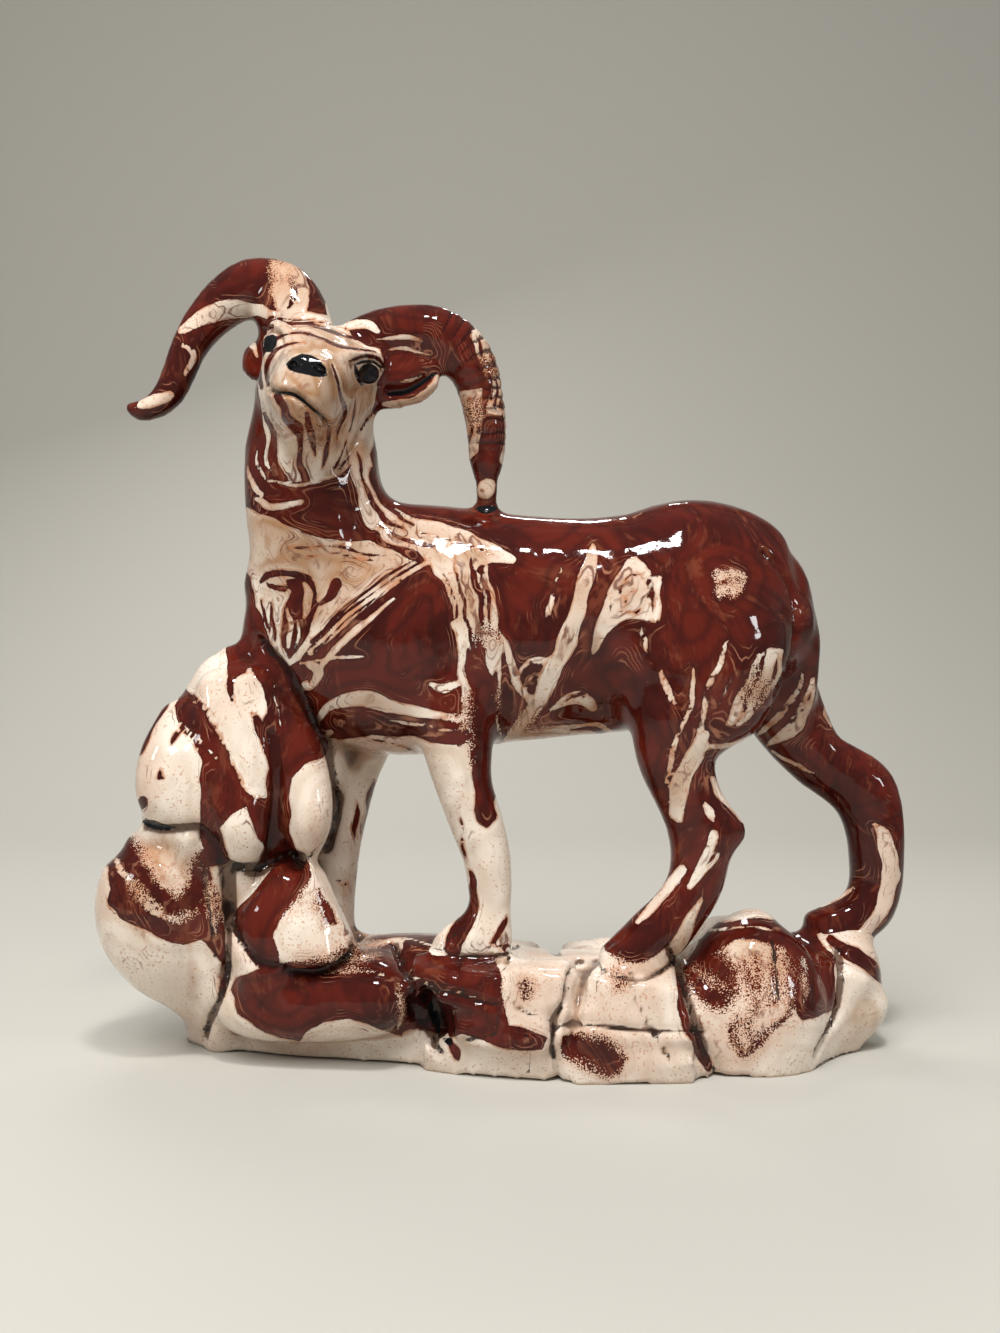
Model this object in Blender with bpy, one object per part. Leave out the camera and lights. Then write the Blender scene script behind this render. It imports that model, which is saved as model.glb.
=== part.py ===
# A glazed ceramic bighorn ram standing on a heap of rocks, cast in one piece.
# Run with: blender --background --python part.py
# Lengths are in millimetres until they are written to a mesh, which is in metres.
# +X runs from head to tail, -Y faces the viewer, +Z is up, and Z = 0 is the flat foot.

import bpy
import bmesh
import numpy as np
from mathutils import Vector
from mathutils.bvhtree import BVHTree

MM = 0.001

# Driving dimensions of the forms
GROUND = 34.0            # height of the rock that the hooves stand on
LEG_SPREAD = 16.0        # how far each pair of legs stands off the middle plane
TRUNK_HALF_WIDTH = 27.0  # half of the trunk's thickness behind the shoulders
NECK_HALF_WIDTH = 21.0   # half of the neck's thickness at the throat
HORN_RADIUS = 10.5       # the horns at their roots
FOOT_CUT = 20.0          # how far the rocks run on below the foot before it is cut flat
EYES = (-53.5, -20.0, 209.0)  # midway between the eyes

# How the clay is finished
CLAY = 1.5               # grid of the joined clay
FLESH_BLEND = 9.0        # width over which muscles are smoothed together
HORN_BLEND = 4.0
ROCK_BLEND = 2.6
SMOOTH_PASSES = 45
FACE_BUDGET = 11600      # triangles left after thinning
RING = 22                # corners in each section

# The two places that the lines are read from
NEAR = Vector((0, -420, 119))
FAR = Vector((0, 420, 119))

forms = []


def through(stations, steps=5):
    """Points on a smooth curve through the stations, each a row of numbers."""
    rows = np.array(stations, float)
    padded = np.vstack([2 * rows[0] - rows[1], rows, 2 * rows[-1] - rows[-2]])
    points = []
    for i in range(len(rows) - 1):
        a, b, c, d = padded[i:i + 4]
        for t in np.linspace(0, 1, steps, endpoint=False):
            points.append(0.5 * (2 * b + (c - a) * t + (2 * a - 5 * b + 4 * c - d) * t ** 2
                                 + (3 * b - a - 3 * c + d) * t ** 3))
    points.append(rows[-1])
    return np.array(points)


def rounded_ends(rows, dome):
    """Adds rings that close each end of a run of sections with a dome."""
    first = rows[0, :3] - rows[1, :3]
    last = rows[-1, :3] - rows[-2, :3]
    first /= np.linalg.norm(first)
    last /= np.linalg.norm(last)
    start, end = [], []
    for angle in np.radians([20, 40, 60, 78]):
        for row, way, kept in ((rows[0], first, start), (rows[-1], last, end)):
            reach = dome * min(row[3], row[4]) * np.sin(angle)
            kept.append([*(row[:3] + way * reach), row[3] * np.cos(angle), row[4] * np.cos(angle)])
    return np.vstack([start[::-1], rows, end])


def loft(stations, blend, side=(0, 1, 0), dome=0.8, square=2.0):
    """A closed form through stations of x, y, z, radius in plane and radius along side."""
    rows = rounded_ends(through(stations), dome)
    centres = rows[:, :3]
    along = np.gradient(centres, axis=0)
    along /= np.linalg.norm(along, axis=1)[:, None]
    across = np.array(side, float) - along * (along @ np.array(side, float))[:, None]
    across /= np.linalg.norm(across, axis=1)[:, None]
    plane = np.cross(across, along)
    turn = np.linspace(0, 2 * np.pi, RING, endpoint=False)
    power = 2.0 / square
    c = np.sign(np.cos(turn)) * np.abs(np.cos(turn)) ** power
    s = np.sign(np.sin(turn)) * np.abs(np.sin(turn)) ** power
    points = (centres[:, None]
              + plane[:, None] * (rows[:, 3:4] * c)[:, :, None]
              + across[:, None] * (rows[:, 4:5] * s)[:, :, None]).reshape(-1, 3)
    faces = []
    for i in range(len(rows) - 1):
        for j in range(RING):
            k = (j + 1) % RING
            faces.append((i * RING + j, i * RING + k, (i + 1) * RING + k, (i + 1) * RING + j))
    faces.append(tuple(range(RING))[::-1])
    faces.append(tuple(range(len(points) - RING, len(points))))
    forms.append((points, faces, blend))


def block(corners, blend=ROCK_BLEND):
    """A flat-sided stone: the convex hull of its corners."""
    mesh = bmesh.new()
    for corner in corners:
        mesh.verts.new(corner)
    hull = bmesh.ops.convex_hull(mesh, input=mesh.verts)
    bmesh.ops.delete(mesh, geom=hull["geom_interior"], context="VERTS")
    bmesh.ops.recalc_face_normals(mesh, faces=mesh.faces)
    mesh.verts.index_update()
    points = np.array([v.co for v in mesh.verts], float)
    faces = [tuple(v.index for v in f.verts) for f in mesh.faces]
    mesh.free()
    forms.append((points, faces, blend))


def standing(stations):
    """Stations whose heights are measured from the ground that the hooves stand on."""
    return [(x, y, GROUND + z, a, b) for x, y, z, a, b in stations]


# The animal

def trunk():
    w = TRUNK_HALF_WIDTH
    loft(standing([
        (-69, 0, 113, 13, 0.5 * w),
        (-63, 0, 107, 25, 0.76 * w),
        (-51, 0, 101, 34, 0.93 * w),
        (-34, 0, 97, 39.5, w),
        (-14, 0, 97, 38, w),
        (6, 0, 97, 35.5, 0.97 * w),
        (26, 0, 97.5, 34, 0.93 * w),
        (44, 0, 99, 34, 0.94 * w),
        (60, 0, 101.5, 35.8, 0.93 * w),
        (73, 0, 101, 32.8, 0.82 * w),
        (82, 0, 98, 24, 0.66 * w),
        (88, 0, 96, 15, 0.45 * w),
    ]), FLESH_BLEND)
    for side in (-1, 1):
        # shoulder blade and the muscle below it
        loft(standing([
            (-20, side * 11, 118, 9, 10), (-25, side * 17, 104, 13, 10.5), (-31, side * 18.5, 90, 13, 9.5),
            (-34, side * 15, 78, 10, 8),
        ]), FLESH_BLEND)


def neck():
    w = NECK_HALF_WIDTH
    loft(standing([
        (-47, 0, 104, 29, 1.05 * w),
        (-53, -2, 121, 25, 1.05 * w),
        (-57.5, -4, 138, 21.5, w),
        (-58, -6, 154, 20, 0.95 * w),
        (-57, -8, 168, 17, 0.84 * w),
    ]), FLESH_BLEND)


def legs():
    s = LEG_SPREAD
    near_fore = [
        (-21, 3.5 - s, 98, 17, 11), (-16, 0.5 - s, 78, 15, 11), (-13, -0.5 - s, 63, 11.5, 10),
        (-11, -0.5 - s, 50, 8.8, 8.8), (-7, -0.5 - s, 38, 8.2, 8.2), (-4, -0.5 - s, 28, 7.3, 7.6),
        (-3, -0.5 - s, 18, 6.8, 7), (-2.5, -0.5 - s, 10, 7, 7.2), (-3, -0.5 - s, 3, 7.5, 7.8),
    ]
    near_fore_hoof = [
        (0, -1 - s, 4.5, 6.5, 8), (-7, -1.5 - s, 5, 7, 8.2), (-12.5, -2 - s, 3.5, 6, 7.5),
        (-17, -2 - s, 1, 4.2, 6),
    ]
    far_fore = [
        (-40, s - 5, 84, 15, 10), (-43, s - 3.5, 66, 11.5, 9), (-47, s - 3.5, 52, 8.5, 8.5),
        (-49.5, s - 4, 40, 7.6, 8), (-51.5, s - 4, 28, 7, 7.6), (-53, s - 4, 16, 7, 7.6),
        (-54, s - 4, 6, 7.4, 8), (-54.5, s - 4, -2, 8, 9),
    ]
    near_hind = [
        (70, 10 - s, 116, 18, 14), (64, 6 - s, 104, 26, 17), (61.5, 3.5 - s, 90, 26.5, 17.5),
        (58.5, 1.5 - s, 76.5, 23, 15.5), (54.5, -s, 66.5, 17, 13), (53, -1 - s, 57, 12, 10.5),
        (56, -1 - s, 47.5, 10.2, 9), (59.5, -1 - s, 40.5, 10.6, 8.8), (60.5, -1 - s, 33, 10, 8.4),
        (59.8, -1 - s, 25.5, 9, 8), (57.5, -1.5 - s, 18, 8.4, 7.8), (53, -2 - s, 11.5, 8.4, 8),
        (48, -2.5 - s, 6, 9, 9), (42.5, -3 - s, 1.5, 8.6, 9.2), (36.5, -3.5 - s, -1, 6.8, 8.2),
        (32.5, -3.5 - s, -2, 4.4, 6.4),
    ]
    near_hock = [
        (62, -1 - s, 42, 6, 6.5), (68, -1 - s, 38.8, 5.4, 6), (71.4, -1 - s, 35, 4.2, 5),
        (70.6, -1 - s, 32, 3.4, 4),
    ]
    far_hind = [
        (78, s - 7, 98, 17, 12), (87, s - 3, 80, 14.5, 10.5), (95, s - 1, 65.5, 12, 9.5),
        (102.5, s - 1, 55.5, 10, 8.5), (110, s - 1, 50.5, 10.2, 8.3), (117.5, s - 1, 44.5, 11, 8),
        (121, s - 1, 34, 9.8, 7.8), (121.8, s - 1, 22, 9, 7.6), (121.3, s - 1, 13.5, 8.6, 7.6),
        (118, s - 2, 6.5, 8.6, 8), (111, s - 3, 3, 7.5, 8), (104.5, s - 4, 2.5, 6, 7.4),
        (100.5, s - 4, 3, 4, 5.6),
    ]
    for leg in (near_fore, near_fore_hoof, far_fore, near_hind, near_hock, far_hind):
        loft(standing(leg), FLESH_BLEND)


def tail():
    loft(standing([
        (80, 2, 124, 5, 5), (87.5, 2, 117.5, 5.5, 6), (92.5, 2, 108, 5.5, 6),
        (95.6, 2, 96, 5, 5.6), (96.2, 3, 86, 4.4, 5), (96.4, 5, 77, 3.8, 4.6), (96.5, 8, 69, 2.6, 3.6),
    ]), 3.0)


def on_head(ahead, side, lift):
    """A place on the head, which is turned to the viewer with its far eye held higher."""
    forward = Vector((0.03, -0.955, -0.29)).normalized()
    level = Vector((0.955, 0.03, -0.30))
    level = (level - forward * level.dot(forward)).normalized()
    return Vector(EYES) + forward * ahead + level * side + forward.cross(level) * lift


def head_form(rows, blend, side=0.0):
    """A loft along the head through rows of ahead, lift, tall and wide."""
    stations = [(*on_head(s, side, lift), tall, wide) for s, lift, tall, wide in rows]
    loft(stations, blend, side=on_head(0, 1, 0) - on_head(0, 0, 0))


def head():
    head_form([
        (-24, -4, 8, 10), (-16, -4, 13, 15), (-6, -4, 14.5, 17), (3, -4, 14, 16.5),
        (12, -4, 12, 13), (21, -5, 11.5, 11.4), (29, -6.5, 11, 11.2), (34, -7, 9.5, 10),
    ], FLESH_BLEND)
    # lower jaw
    head_form([
        (-14, -19, 12, 13), (0, -18, 10, 11), (12, -17, 7.5, 9), (24, -15.5, 5.5, 8), (30, -14.5, 4.5, 6.5),
    ], FLESH_BLEND)
    # upper lip, which hangs over the mouth
    head_form([(16, -7, 7.5, 11.6), (26, -7.5, 8, 12.2), (33, -8, 7, 10.6)], 4.0)
    for side in (-1, 1):
        brow = [
            (-7, 15.6, 4.6, 3.2, 3), (0, 15, 6, 3, 2.6), (7, 12.4, 6.8, 2.6, 2.2), (14, 8, 6.6, 2.2, 2),
            (21, 4, 5, 1.6, 1.6),
        ]
        loft([(*on_head(a, side * s, lift), r, q) for a, s, lift, r, q in brow], 4.0)
        eye = [(2.8, 14.7, 1.2, 3.4, 3.4), (3.6, 14.9, 1.2, 3.4, 3.4)]
        loft([(*on_head(a, side * s, lift), r, q) for a, s, lift, r, q in eye], 0.8, dome=1.0)
        cheek = [(-8, 13, -12, 6, 5), (4, 12, -11, 5.5, 4.5), (13, 9.5, -12, 4, 3.5)]
        loft([(*on_head(a, side * s, lift), r, q) for a, s, lift, r, q in cheek], FLESH_BLEND)
    # the nose pad
    loft([(*on_head(34.5, s, 2 + 0.1 * s), 3.4, 3.4) for s in (-3.6, 0, 3.6)], 1.2, side=(0, -1, 0))


def horns():
    r = HORN_RADIUS
    far_horn = [
        (-59, -3, 180, 0.95 * r, 0.95 * r), (-64.5, 0, 193.5, 1.1 * r, r),
        (-69, 3, 201.5, 1.03 * r, 0.95 * r), (-77.5, 4, 204, 0.93 * r, 0.88 * r),
        (-85, 3, 200.5, 0.79 * r, 0.76 * r), (-92, 1, 193, 0.65 * r, 0.67 * r),
        (-96.5, -2, 184.5, 0.55 * r, 0.57 * r), (-99.5, -4, 175.5, 0.5 * r, 0.51 * r),
        (-102, -6, 169, 0.46 * r, 0.46 * r), (-106, -8, 164.5, 0.38 * r, 0.42 * r),
        (-110.5, -9, 163.2, 0.3 * r, 0.38 * r), (-113, -9, 164, 0.2 * r, 0.28 * r),
    ]
    near_horn = [
        (-50, -6, 180, 0.72 * r, 0.76 * r), (-43.5, -7, 183.5, 0.76 * r, 0.8 * r),
        (-35.5, -8, 186.5, 0.78 * r, 0.8 * r), (-27.5, -8, 187, 0.84 * r, 0.8 * r),
        (-19.5, -8, 186, 0.88 * r, 0.8 * r), (-12, -7, 181.5, 0.83 * r, 0.76 * r),
        (-8, -7, 176, 0.74 * r, 0.72 * r), (-5.8, -6, 168.5, 0.66 * r, 0.65 * r),
        (-4.3, -6, 159.5, 0.62 * r, 0.6 * r), (-4.1, -5, 152, 0.56 * r, 0.56 * r),
        (-4.2, -5, 146.5, 0.49 * r, 0.49 * r), (-4.2, -5, 144.8, 0.42 * r, 0.42 * r),
    ]
    for horn in (far_horn, near_horn):
        loft(standing(horn), HORN_BLEND)
    # the near horn ends in a bead that sits on the withers
    loft(standing([(-4.1, -5, 139.4, 3.9, 3.9), (-4.1, -5, 138.8, 3.9, 3.9)]), 0.8, dome=1.0)
    loft(standing([(-4, -4, 138, 2.8, 3.2), (-3.5, -3, 130, 3.4, 4)]), 1.2)


def ears():
    loft(standing([
        (-41, -9, 168, 5, 4), (-34, -11, 170, 7, 3.6), (-28, -12, 171, 7.4, 3.4),
        (-23, -12, 172.5, 6, 3), (-19.6, -11.5, 175, 2.6, 2.2),
    ]), HORN_BLEND)
    loft(standing([
        (-67, -5, 176, 6, 4), (-72.5, -2, 179.5, 7.5, 3.4), (-76, 2, 182.5, 7, 3.2),
        (-78.5, 6, 185, 4, 2.4),
    ]), HORN_BLEND)


# The rocks

def slab():
    """The body of the base, whose top is the ground and whose plan is a long oval."""
    half = (GROUND + FOOT_CUT) / 2
    middle = GROUND - half
    loft([
        (-92, 10, middle - 14, half - 14, 7),
        (-82, 9, middle - 6, half - 6, 13),
        (-65, 8, middle - 2, half - 2, 19),
        (-40, 5, middle, half, 21),
        (-15, 2, middle, half, 24),
        (10, -2, middle - 2, half - 2, 31),
        (35, -3, middle - 2, half - 2, 33),
        (62, -1, middle - 1, half - 1, 30),
        (85, 1, middle - 1, half - 1, 25),
        (102, 3, middle - 3, half - 3, 15),
        (108, 3, middle - 8, half - 8, 9),
    ], ROCK_BLEND, dome=0.3, square=2.6)


def chest_boulder():
    """The tall boulder under the chest, with lobes that hang from its face."""
    b = ROCK_BLEND
    loft([
        (-80, -2, 48, 20, 17), (-81, -2, 62, 24, 20), (-82, -3, 70, 27, 22), (-82, -4, 79, 29.5, 24),
        (-81.5, -4, 89, 28, 24), (-81, -3, 99, 24, 21.5), (-81.5, -3, 108, 18.5, 18),
        (-81.5, -3, 116, 13, 13), (-80.5, -2, 121, 7.5, 8),
    ], b, dome=0.6)
    loft([(-97, -10, 103, 7, 8), (-99, -13, 92, 10, 10), (-99.5, -14, 82, 10.5, 11),
        (-99, -13, 76, 9, 10)], b)
    loft([
        (-84, -14, 112, 8, 9), (-81, -18, 98, 11, 9), (-77.5, -21, 84, 9.5, 8), (-76, -24, 73, 7.8, 7.5),
        (-75.5, -23, 66, 6.4, 6.5),
    ], b)
    loft([
        (-67, -10, 106, 7, 9), (-62, -15, 95, 8, 9), (-57.5, -18, 84, 7, 8), (-56.5, -20, 74, 6.8, 7.5),
        (-58, -18, 66, 5.4, 6),
    ], b)
    loft([(-74, -12, 113, 8, 9), (-71.5, -15, 101, 9, 9), (-69, -16, 92, 8, 8)], b)
    # the clay that fills the hollow between it and the chest
    loft([(-62, 4, 112, 9, 16), (-56, 6, 98, 8, 15), (-53, 8, 84, 6, 13)], b)
    # its back
    loft([(-70, 16, 100, 12, 9), (-68, 19, 82, 14, 10), (-70, 19, 60, 15, 10), (-72, 17, 44, 14, 10)], b)
    loft([(-92, 14, 94, 12, 9), (-94, 17, 80, 13, 9), (-94, 17, 68, 12, 8)], b)


def end_boulder():
    """The low boulder at the left end, undercut towards the foot."""
    loft([
        (-94, 13, -14, 7, 9), (-94, 12, 3, 7, 9.5), (-94.2, 8, 13, 8, 11.5), (-96.6, 2, 22, 11.2, 15.5),
        (-101.4, -2, 31, 16.2, 20), (-104.5, -4, 41, 19.5, 22), (-105, -4, 52, 19, 21.5),
        (-105.5, -4, 60, 16, 18.5), (-106.5, -4, 65.5, 9.5, 12),
    ], ROCK_BLEND, dome=0.5)
    # a buttress that joins it to the rocks beside it
    loft([(-86, -6, 62, 10, 12), (-87, -7, 46, 9, 14), (-87, -5, 26, 8, 13.5),
        (-86, 4, 6, 9, 12)], ROCK_BLEND)
    loft([(-88, 16, 60, 10, 10), (-88, 17, 40, 12, 12), (-86, 16, 16, 13, 12),
        (-84, 16, -8, 12, 12)], ROCK_BLEND)


def spur_rock():
    """The small rock in front of the far foreleg, with a sharp ridge down its face."""
    b = ROCK_BLEND
    loft([(-70, -17, 24, 9, 11), (-69, -18, 34, 12, 11), (-67, -18, 44, 12, 10.5), (-65, -16, 53, 8, 8)], b)
    block([
        (-56, -23, 62), (-61.5, -31, 46), (-65, -31.5, 30), (-49, -31, 32), (-42, -24, 36), (-51, -23, 46),
        (-52, -6, 34), (-56, -10, 58), (-66, -10, 34), (-64, -12, 54),
    ], 1.4)
    block([
        (-53, -19, 60), (-48, -20, 46), (-42, -18, 35), (-52, -4, 34), (-46, -6, 34), (-55, -8, 57),
        (-58, -12, 50),
    ], 1.4)


def front_rocks():
    b = ROCK_BLEND
    # the long low rock on the left
    loft([
        (-80, -5, 18, 8, 12), (-73, -9, 18, 12, 16), (-60, -10, 19, 13.5, 18.5), (-46, -11, 20, 13.5, 19.5),
        (-35, -12, 21, 12, 20), (-29, -12, 22, 9, 17),
    ], b, dome=0.3, square=2.3)
    loft([
        (-82, 8, -8, 9, 8), (-70, 5, -7, 11, 14.5), (-50, 2, -6, 12, 17), (-30, 0, -7, 12, 16.5),
        (-16, -3, -7, 11, 18),
    ], b, dome=0.3)
    # the split rocks in the middle
    block([
        (-27, -31, 31), (-26, -18, 34), (1, -35, 30), (1, -20, 33), (-26, -34, 24), (1, -38, 20),
        (-24, -20, 20), (0, -20, 16),
    ])
    block([
        (-14, -30, 20), (-13, -34, 12), (-1, -38, 18), (1, -37, 8), (0, -20, 18), (-12, -20, 6),
        (-13, -18, 18),
    ])
    block([
        (-23, -27, 8), (-22, -22, 10), (2, -34, 10), (18, -37, 8), (18, -20, 10), (-22, -20, -10),
        (-8, -25, -10), (2, -31, -10), (17, -34, -10), (-16, -10, -4), (10, -14, -6),
    ])
    block([
        (2, -33, 32), (20, -35, 31), (24, -22, 33), (1, -20, 33), (18, -39, 12), (2, -38, 12), (14, -37, 6),
        (0, -36, 8), (10, -20, 6),
    ])
    block([
        (25, -34, 30), (28, -22, 32), (52, -35, 27), (50, -20, 32), (22, -39, 12), (56, -38, 12),
        (22, -37, 8), (57, -35, 8),
    ])
    block([
        (21, -39, 8), (57, -38, 7), (22, -37, -10), (54, -35, -10), (30, -20, -10), (50, -20, -10),
        (22, -30, 9),
    ])


def round_boulder():
    """The round boulder under the far hind hoof and the blocks beyond it."""
    b = ROCK_BLEND
    loft([
        (75, -3, -14, 20, 22), (75.5, -5, -2, 23, 25), (76, -7, 9, 24.5, 25.5), (76.5, -7, 19, 24, 24.5),
        (77, -6, 28, 20.5, 20.5), (78, -3, 35.5, 14.5, 15), (79, -1, 40, 7, 9),
    ], b, dome=0.4)
    block([
        (102, -10, 29), (113, -10, 24), (117.5, -5, 20), (114, -3, 8), (109, -3, -10), (96, -10, -10),
        (98, -14, 26), (103, 18, 29), (116, 16, 21), (106, 18, -10), (114, 6, 6),
    ])
    loft([(104, 6, 27, 8, 10), (112, 8, 26.5, 8, 9.5), (117, 9, 21, 5, 7)], b)


def back_rocks():
    b = ROCK_BLEND
    block([
        (-62, 24, 28), (-20, 26, 30), (-18, 33, 16), (-60, 30, 16), (-58, 30, -10), (-22, 33, -10),
        (-40, 8, 33), (-30, 8, -10),
    ])
    block([
        (-15, 27, 28), (14, 25, 28), (16, 33, 14), (-14, 35, 13), (-12, 34, -10), (12, 33, -10), (0, 8, 33),
        (0, 8, -10),
    ])
    block([
        (20, 25, 28), (48, 26, 30), (52, 33, 15), (21, 33, 15), (24, 32, -10), (46, 32, -10), (34, 8, 33),
        (34, 8, -10),
    ])
    loft([(70, 14, -14, 18, 14), (71, 15, 6, 19, 15), (72, 14, 20, 17, 14), (73, 12, 30, 12, 11)], b)
    loft([(93, 12, -12, 12, 12), (94, 12, 8, 13, 13), (95, 12, 24, 12, 12)], b)


# Lines pressed into the clay, read off a front view or a back view

CREVICES = [
    # between the chest and the tall boulder, and down beside the far foreleg
    (NEAR, 2.2, 2.6, [(-75, 127), (-67, 118), (-61, 108), (-56, 98), (-53, 91), (-51, 82), (-51, 72),
        (-54, 62)]),
    (NEAR, 2.8, 2.0, [(-71, 98), (-70, 88), (-70, 78), (-71, 68), (-73, 60)]),
    (NEAR, 1.8, 1.6, [(-67, 63), (-61, 58.5), (-54, 64)]),
    (NEAR, 1.8, 1.4, [(-89, 66), (-87, 59), (-80, 55.5), (-73, 58)]),
    (NEAR, 2.2, 3.0, [(-114, 71), (-107, 68), (-100, 68), (-94, 68), (-89, 62)]),
    # either side of the low boulder's buttress
    (NEAR, 2.0, 2.4, [(-88, 60), (-86, 50), (-85, 38), (-85, 28), (-87, 18), (-91, 8), (-93, 2)]),
    (NEAR, 1.4, 1.2, [(-95, 66), (-92, 50), (-90, 36), (-89, 28)]),
    # around the spur rock
    (NEAR, 2.0, 2.6, [(-63, 60), (-69, 59), (-76, 55), (-83, 57), (-84, 45), (-82, 34), (-76, 27),
        (-66, 24)]),
    (NEAR, 1.6, 2.0, [(-66, 24), (-56, 24), (-48, 29), (-43, 36)]),
    # between the long low rock and the split rocks
    (NEAR, 2.0, 3.0, [(-33, 33), (-30, 26), (-28, 20), (-27, 12), (-22, 4), (-19, -2)]),
    (NEAR, 3.6, 5.0, [(-24, 17), (-21, 11), (-19, 6)]),
    (NEAR, 1.6, 2.0, [(-25, 19), (-17, 17.5), (-9, 15), (-1, 13)]),
    (NEAR, 1.4, 1.4, [(0, 12), (-2, 4), (-12, 2)]),
    (NEAR, 1.2, 0.8, [(3, 28), (0.5, 22), (2, 16), (8, 11), (16, 8.5)]),
    (NEAR, 1.8, 3.0, [(25, 28), (22, 22), (21, 15), (17, 9), (16.5, 0), (17.7, -10)]),
    (NEAR, 1.3, 1.6, [(17, 6), (25, 7.4), (37.5, 5.8), (50, 5.5), (63.5, 5.3)]),
    (NEAR, 1.2, 1.1, [(41, 23), (41.7, 16.8), (46.9, 6.4), (53, -4)]),
    # around the round boulder
    (NEAR, 2.0, 2.6, [(53, 31), (57, 22), (60, 12), (64, 0), (68, -9)]),
    (NEAR, 1.5, 1.2, [(85.4, 33), (86.5, 24), (87, 15)]),
    (NEAR, 2.0, 3.0, [(106, 31), (107, 20), (105, 10), (99, -2)]),
    # where the hooves meet the rock
    (NEAR, 1.2, 1.0, [(-21, 31), (-12, 29), (0, 29), (6, 32)]),
    (NEAR, 1.3, 1.2, [(29, 28), (35, 23), (45, 21.5), (54, 26)]),
    # the back of the rocks
    (FAR, 2.0, 2.6, [(-75, 127), (-66, 116), (-60, 105), (-55, 92)]),
    (FAR, 2.0, 2.4, [(-82, 100), (-82, 84), (-80, 66), (-79, 50), (-78, 34), (-76, 14), (-76, -4)]),
    (FAR, 2.0, 2.4, [(-116, 66), (-104, 64), (-94, 60), (-84, 58)]),
    (FAR, 2.0, 2.6, [(-17, 34), (-17, 20), (-16, 6), (-16, -8)]),
    (FAR, 1.6, 2.0, [(-58, 16), (-44, 19), (-30, 17), (-18, 18)]),
    (FAR, 2.0, 2.6, [(18, 30), (18, 16), (19, 2), (19, -8)]),
    (FAR, 1.2, 1.2, [(30, 28), (34, 16), (40, 4)]),
    (FAR, 2.0, 2.4, [(50, 32), (54, 16), (55, 0), (54, -8)]),
    (FAR, 2.0, 2.4, [(84, 34), (85, 18), (85, 2), (84, -8)]),
]
HOLLOWS = [
    # mouth, and the creases of cheek and jaw
    (NEAR, 1.5, 2.0, [
        (-73, 206), (-70, 204.8), (-67, 204.5), (-64.5, 204), (-62, 202.5), (-60, 200.8), (-58, 199),
        (-56, 197.5), (-54.5, 196), (-53.8, 194.2),
    ]),
    (NEAR, 2.0, 0.6, [(-52.5, 213.5), (-51, 209), (-49.5, 204), (-48.4, 200), (-49.5, 195), (-51, 190)]),
    (NEAR, 2.6, 1.0, [(-38.5, 199.5), (-42, 195.5), (-46, 187), (-50, 181)]),
    # eye sockets: a fold under the brow and the corner of the eye
    (NEAR, 1.5, 1.3, [(-46.4, 213.4), (-44, 214.8), (-41, 215.2), (-38, 214), (-36.4, 211.5)]),
    (NEAR, 1.5, 1.5, [(-46.2, 213), (-45.6, 209.5), (-43.8, 206.6)]),
    (NEAR, 1.3, 1.0, [(-43, 206.6), (-40.5, 206), (-37.8, 207.6)]),
    (NEAR, 1.4, 1.4, [(-74, 223.5), (-71.5, 224), (-69, 222.6), (-68.2, 219.5), (-69.4, 216.5)]),
    # nostrils
    (NEAR, 1.3, 1.1, [(-65.8, 213.6), (-63.4, 213.4)]),
    (NEAR, 1.3, 1.1, [(-57.4, 212.6), (-55.2, 211.2)]),
    # the cup of the ear
    (NEAR, 2.8, 2.8, [(-34, 205), (-30, 205.4), (-26, 207.2), (-22, 210)]),
    # behind the shoulder, the flank and the fold beside the tail
    (NEAR, 12.0, 1.5, [(7, 142), (4, 126), (8, 108)]),
    (FAR, 12.0, 1.5, [(7, 142), (4, 126), (8, 108)]),
    (NEAR, 9.0, 2.0, [(29, 126), (30, 116), (32, 106)]),
    (FAR, 9.0, 2.0, [(29, 126), (30, 116), (32, 106)]),
    (NEAR, 1.8, 2.2, [(82, 155), (87.5, 150), (91, 143), (92.5, 135.5), (92.3, 128), (90, 119),
        (86, 110.5)]),
    (FAR, 1.8, 2.2, [(82, 155), (87.5, 150), (91, 143), (92.5, 135.5), (92.3, 128), (90, 119),
        (86, 110.5)]),
    (NEAR, 8.0, 1.6, [(-44, 168), (-43, 152), (-48, 136)]),
    (FAR, 8.0, 1.6, [(-44, 168), (-43, 152), (-48, 136)]),
]


# Joining and finishing the clay

def joined_forms():
    """One mesh, in metres, that holds every form."""
    points, faces = [], []
    for form_points, form_faces, _ in forms:
        first = sum(map(len, points))
        points.append(form_points * MM)
        faces.extend(tuple(first + i for i in face) for face in form_faces)
    mesh = bpy.data.meshes.new("forms")
    mesh.from_pydata(np.vstack(points).tolist(), [], faces)
    return mesh


def remeshed(mesh, voxel):
    """The outer skin of the forms, as the Remesh modifier finds it."""
    holder = bpy.data.objects.new("forms", mesh)
    bpy.context.scene.collection.objects.link(holder)
    remesh = holder.modifiers.new("Remesh", "REMESH")
    remesh.mode = "VOXEL"
    remesh.voxel_size = voxel * MM
    graph = bpy.context.evaluated_depsgraph_get()
    skin = bpy.data.meshes.new_from_object(holder.evaluated_get(graph))
    bpy.data.objects.remove(holder)
    return skin


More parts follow.
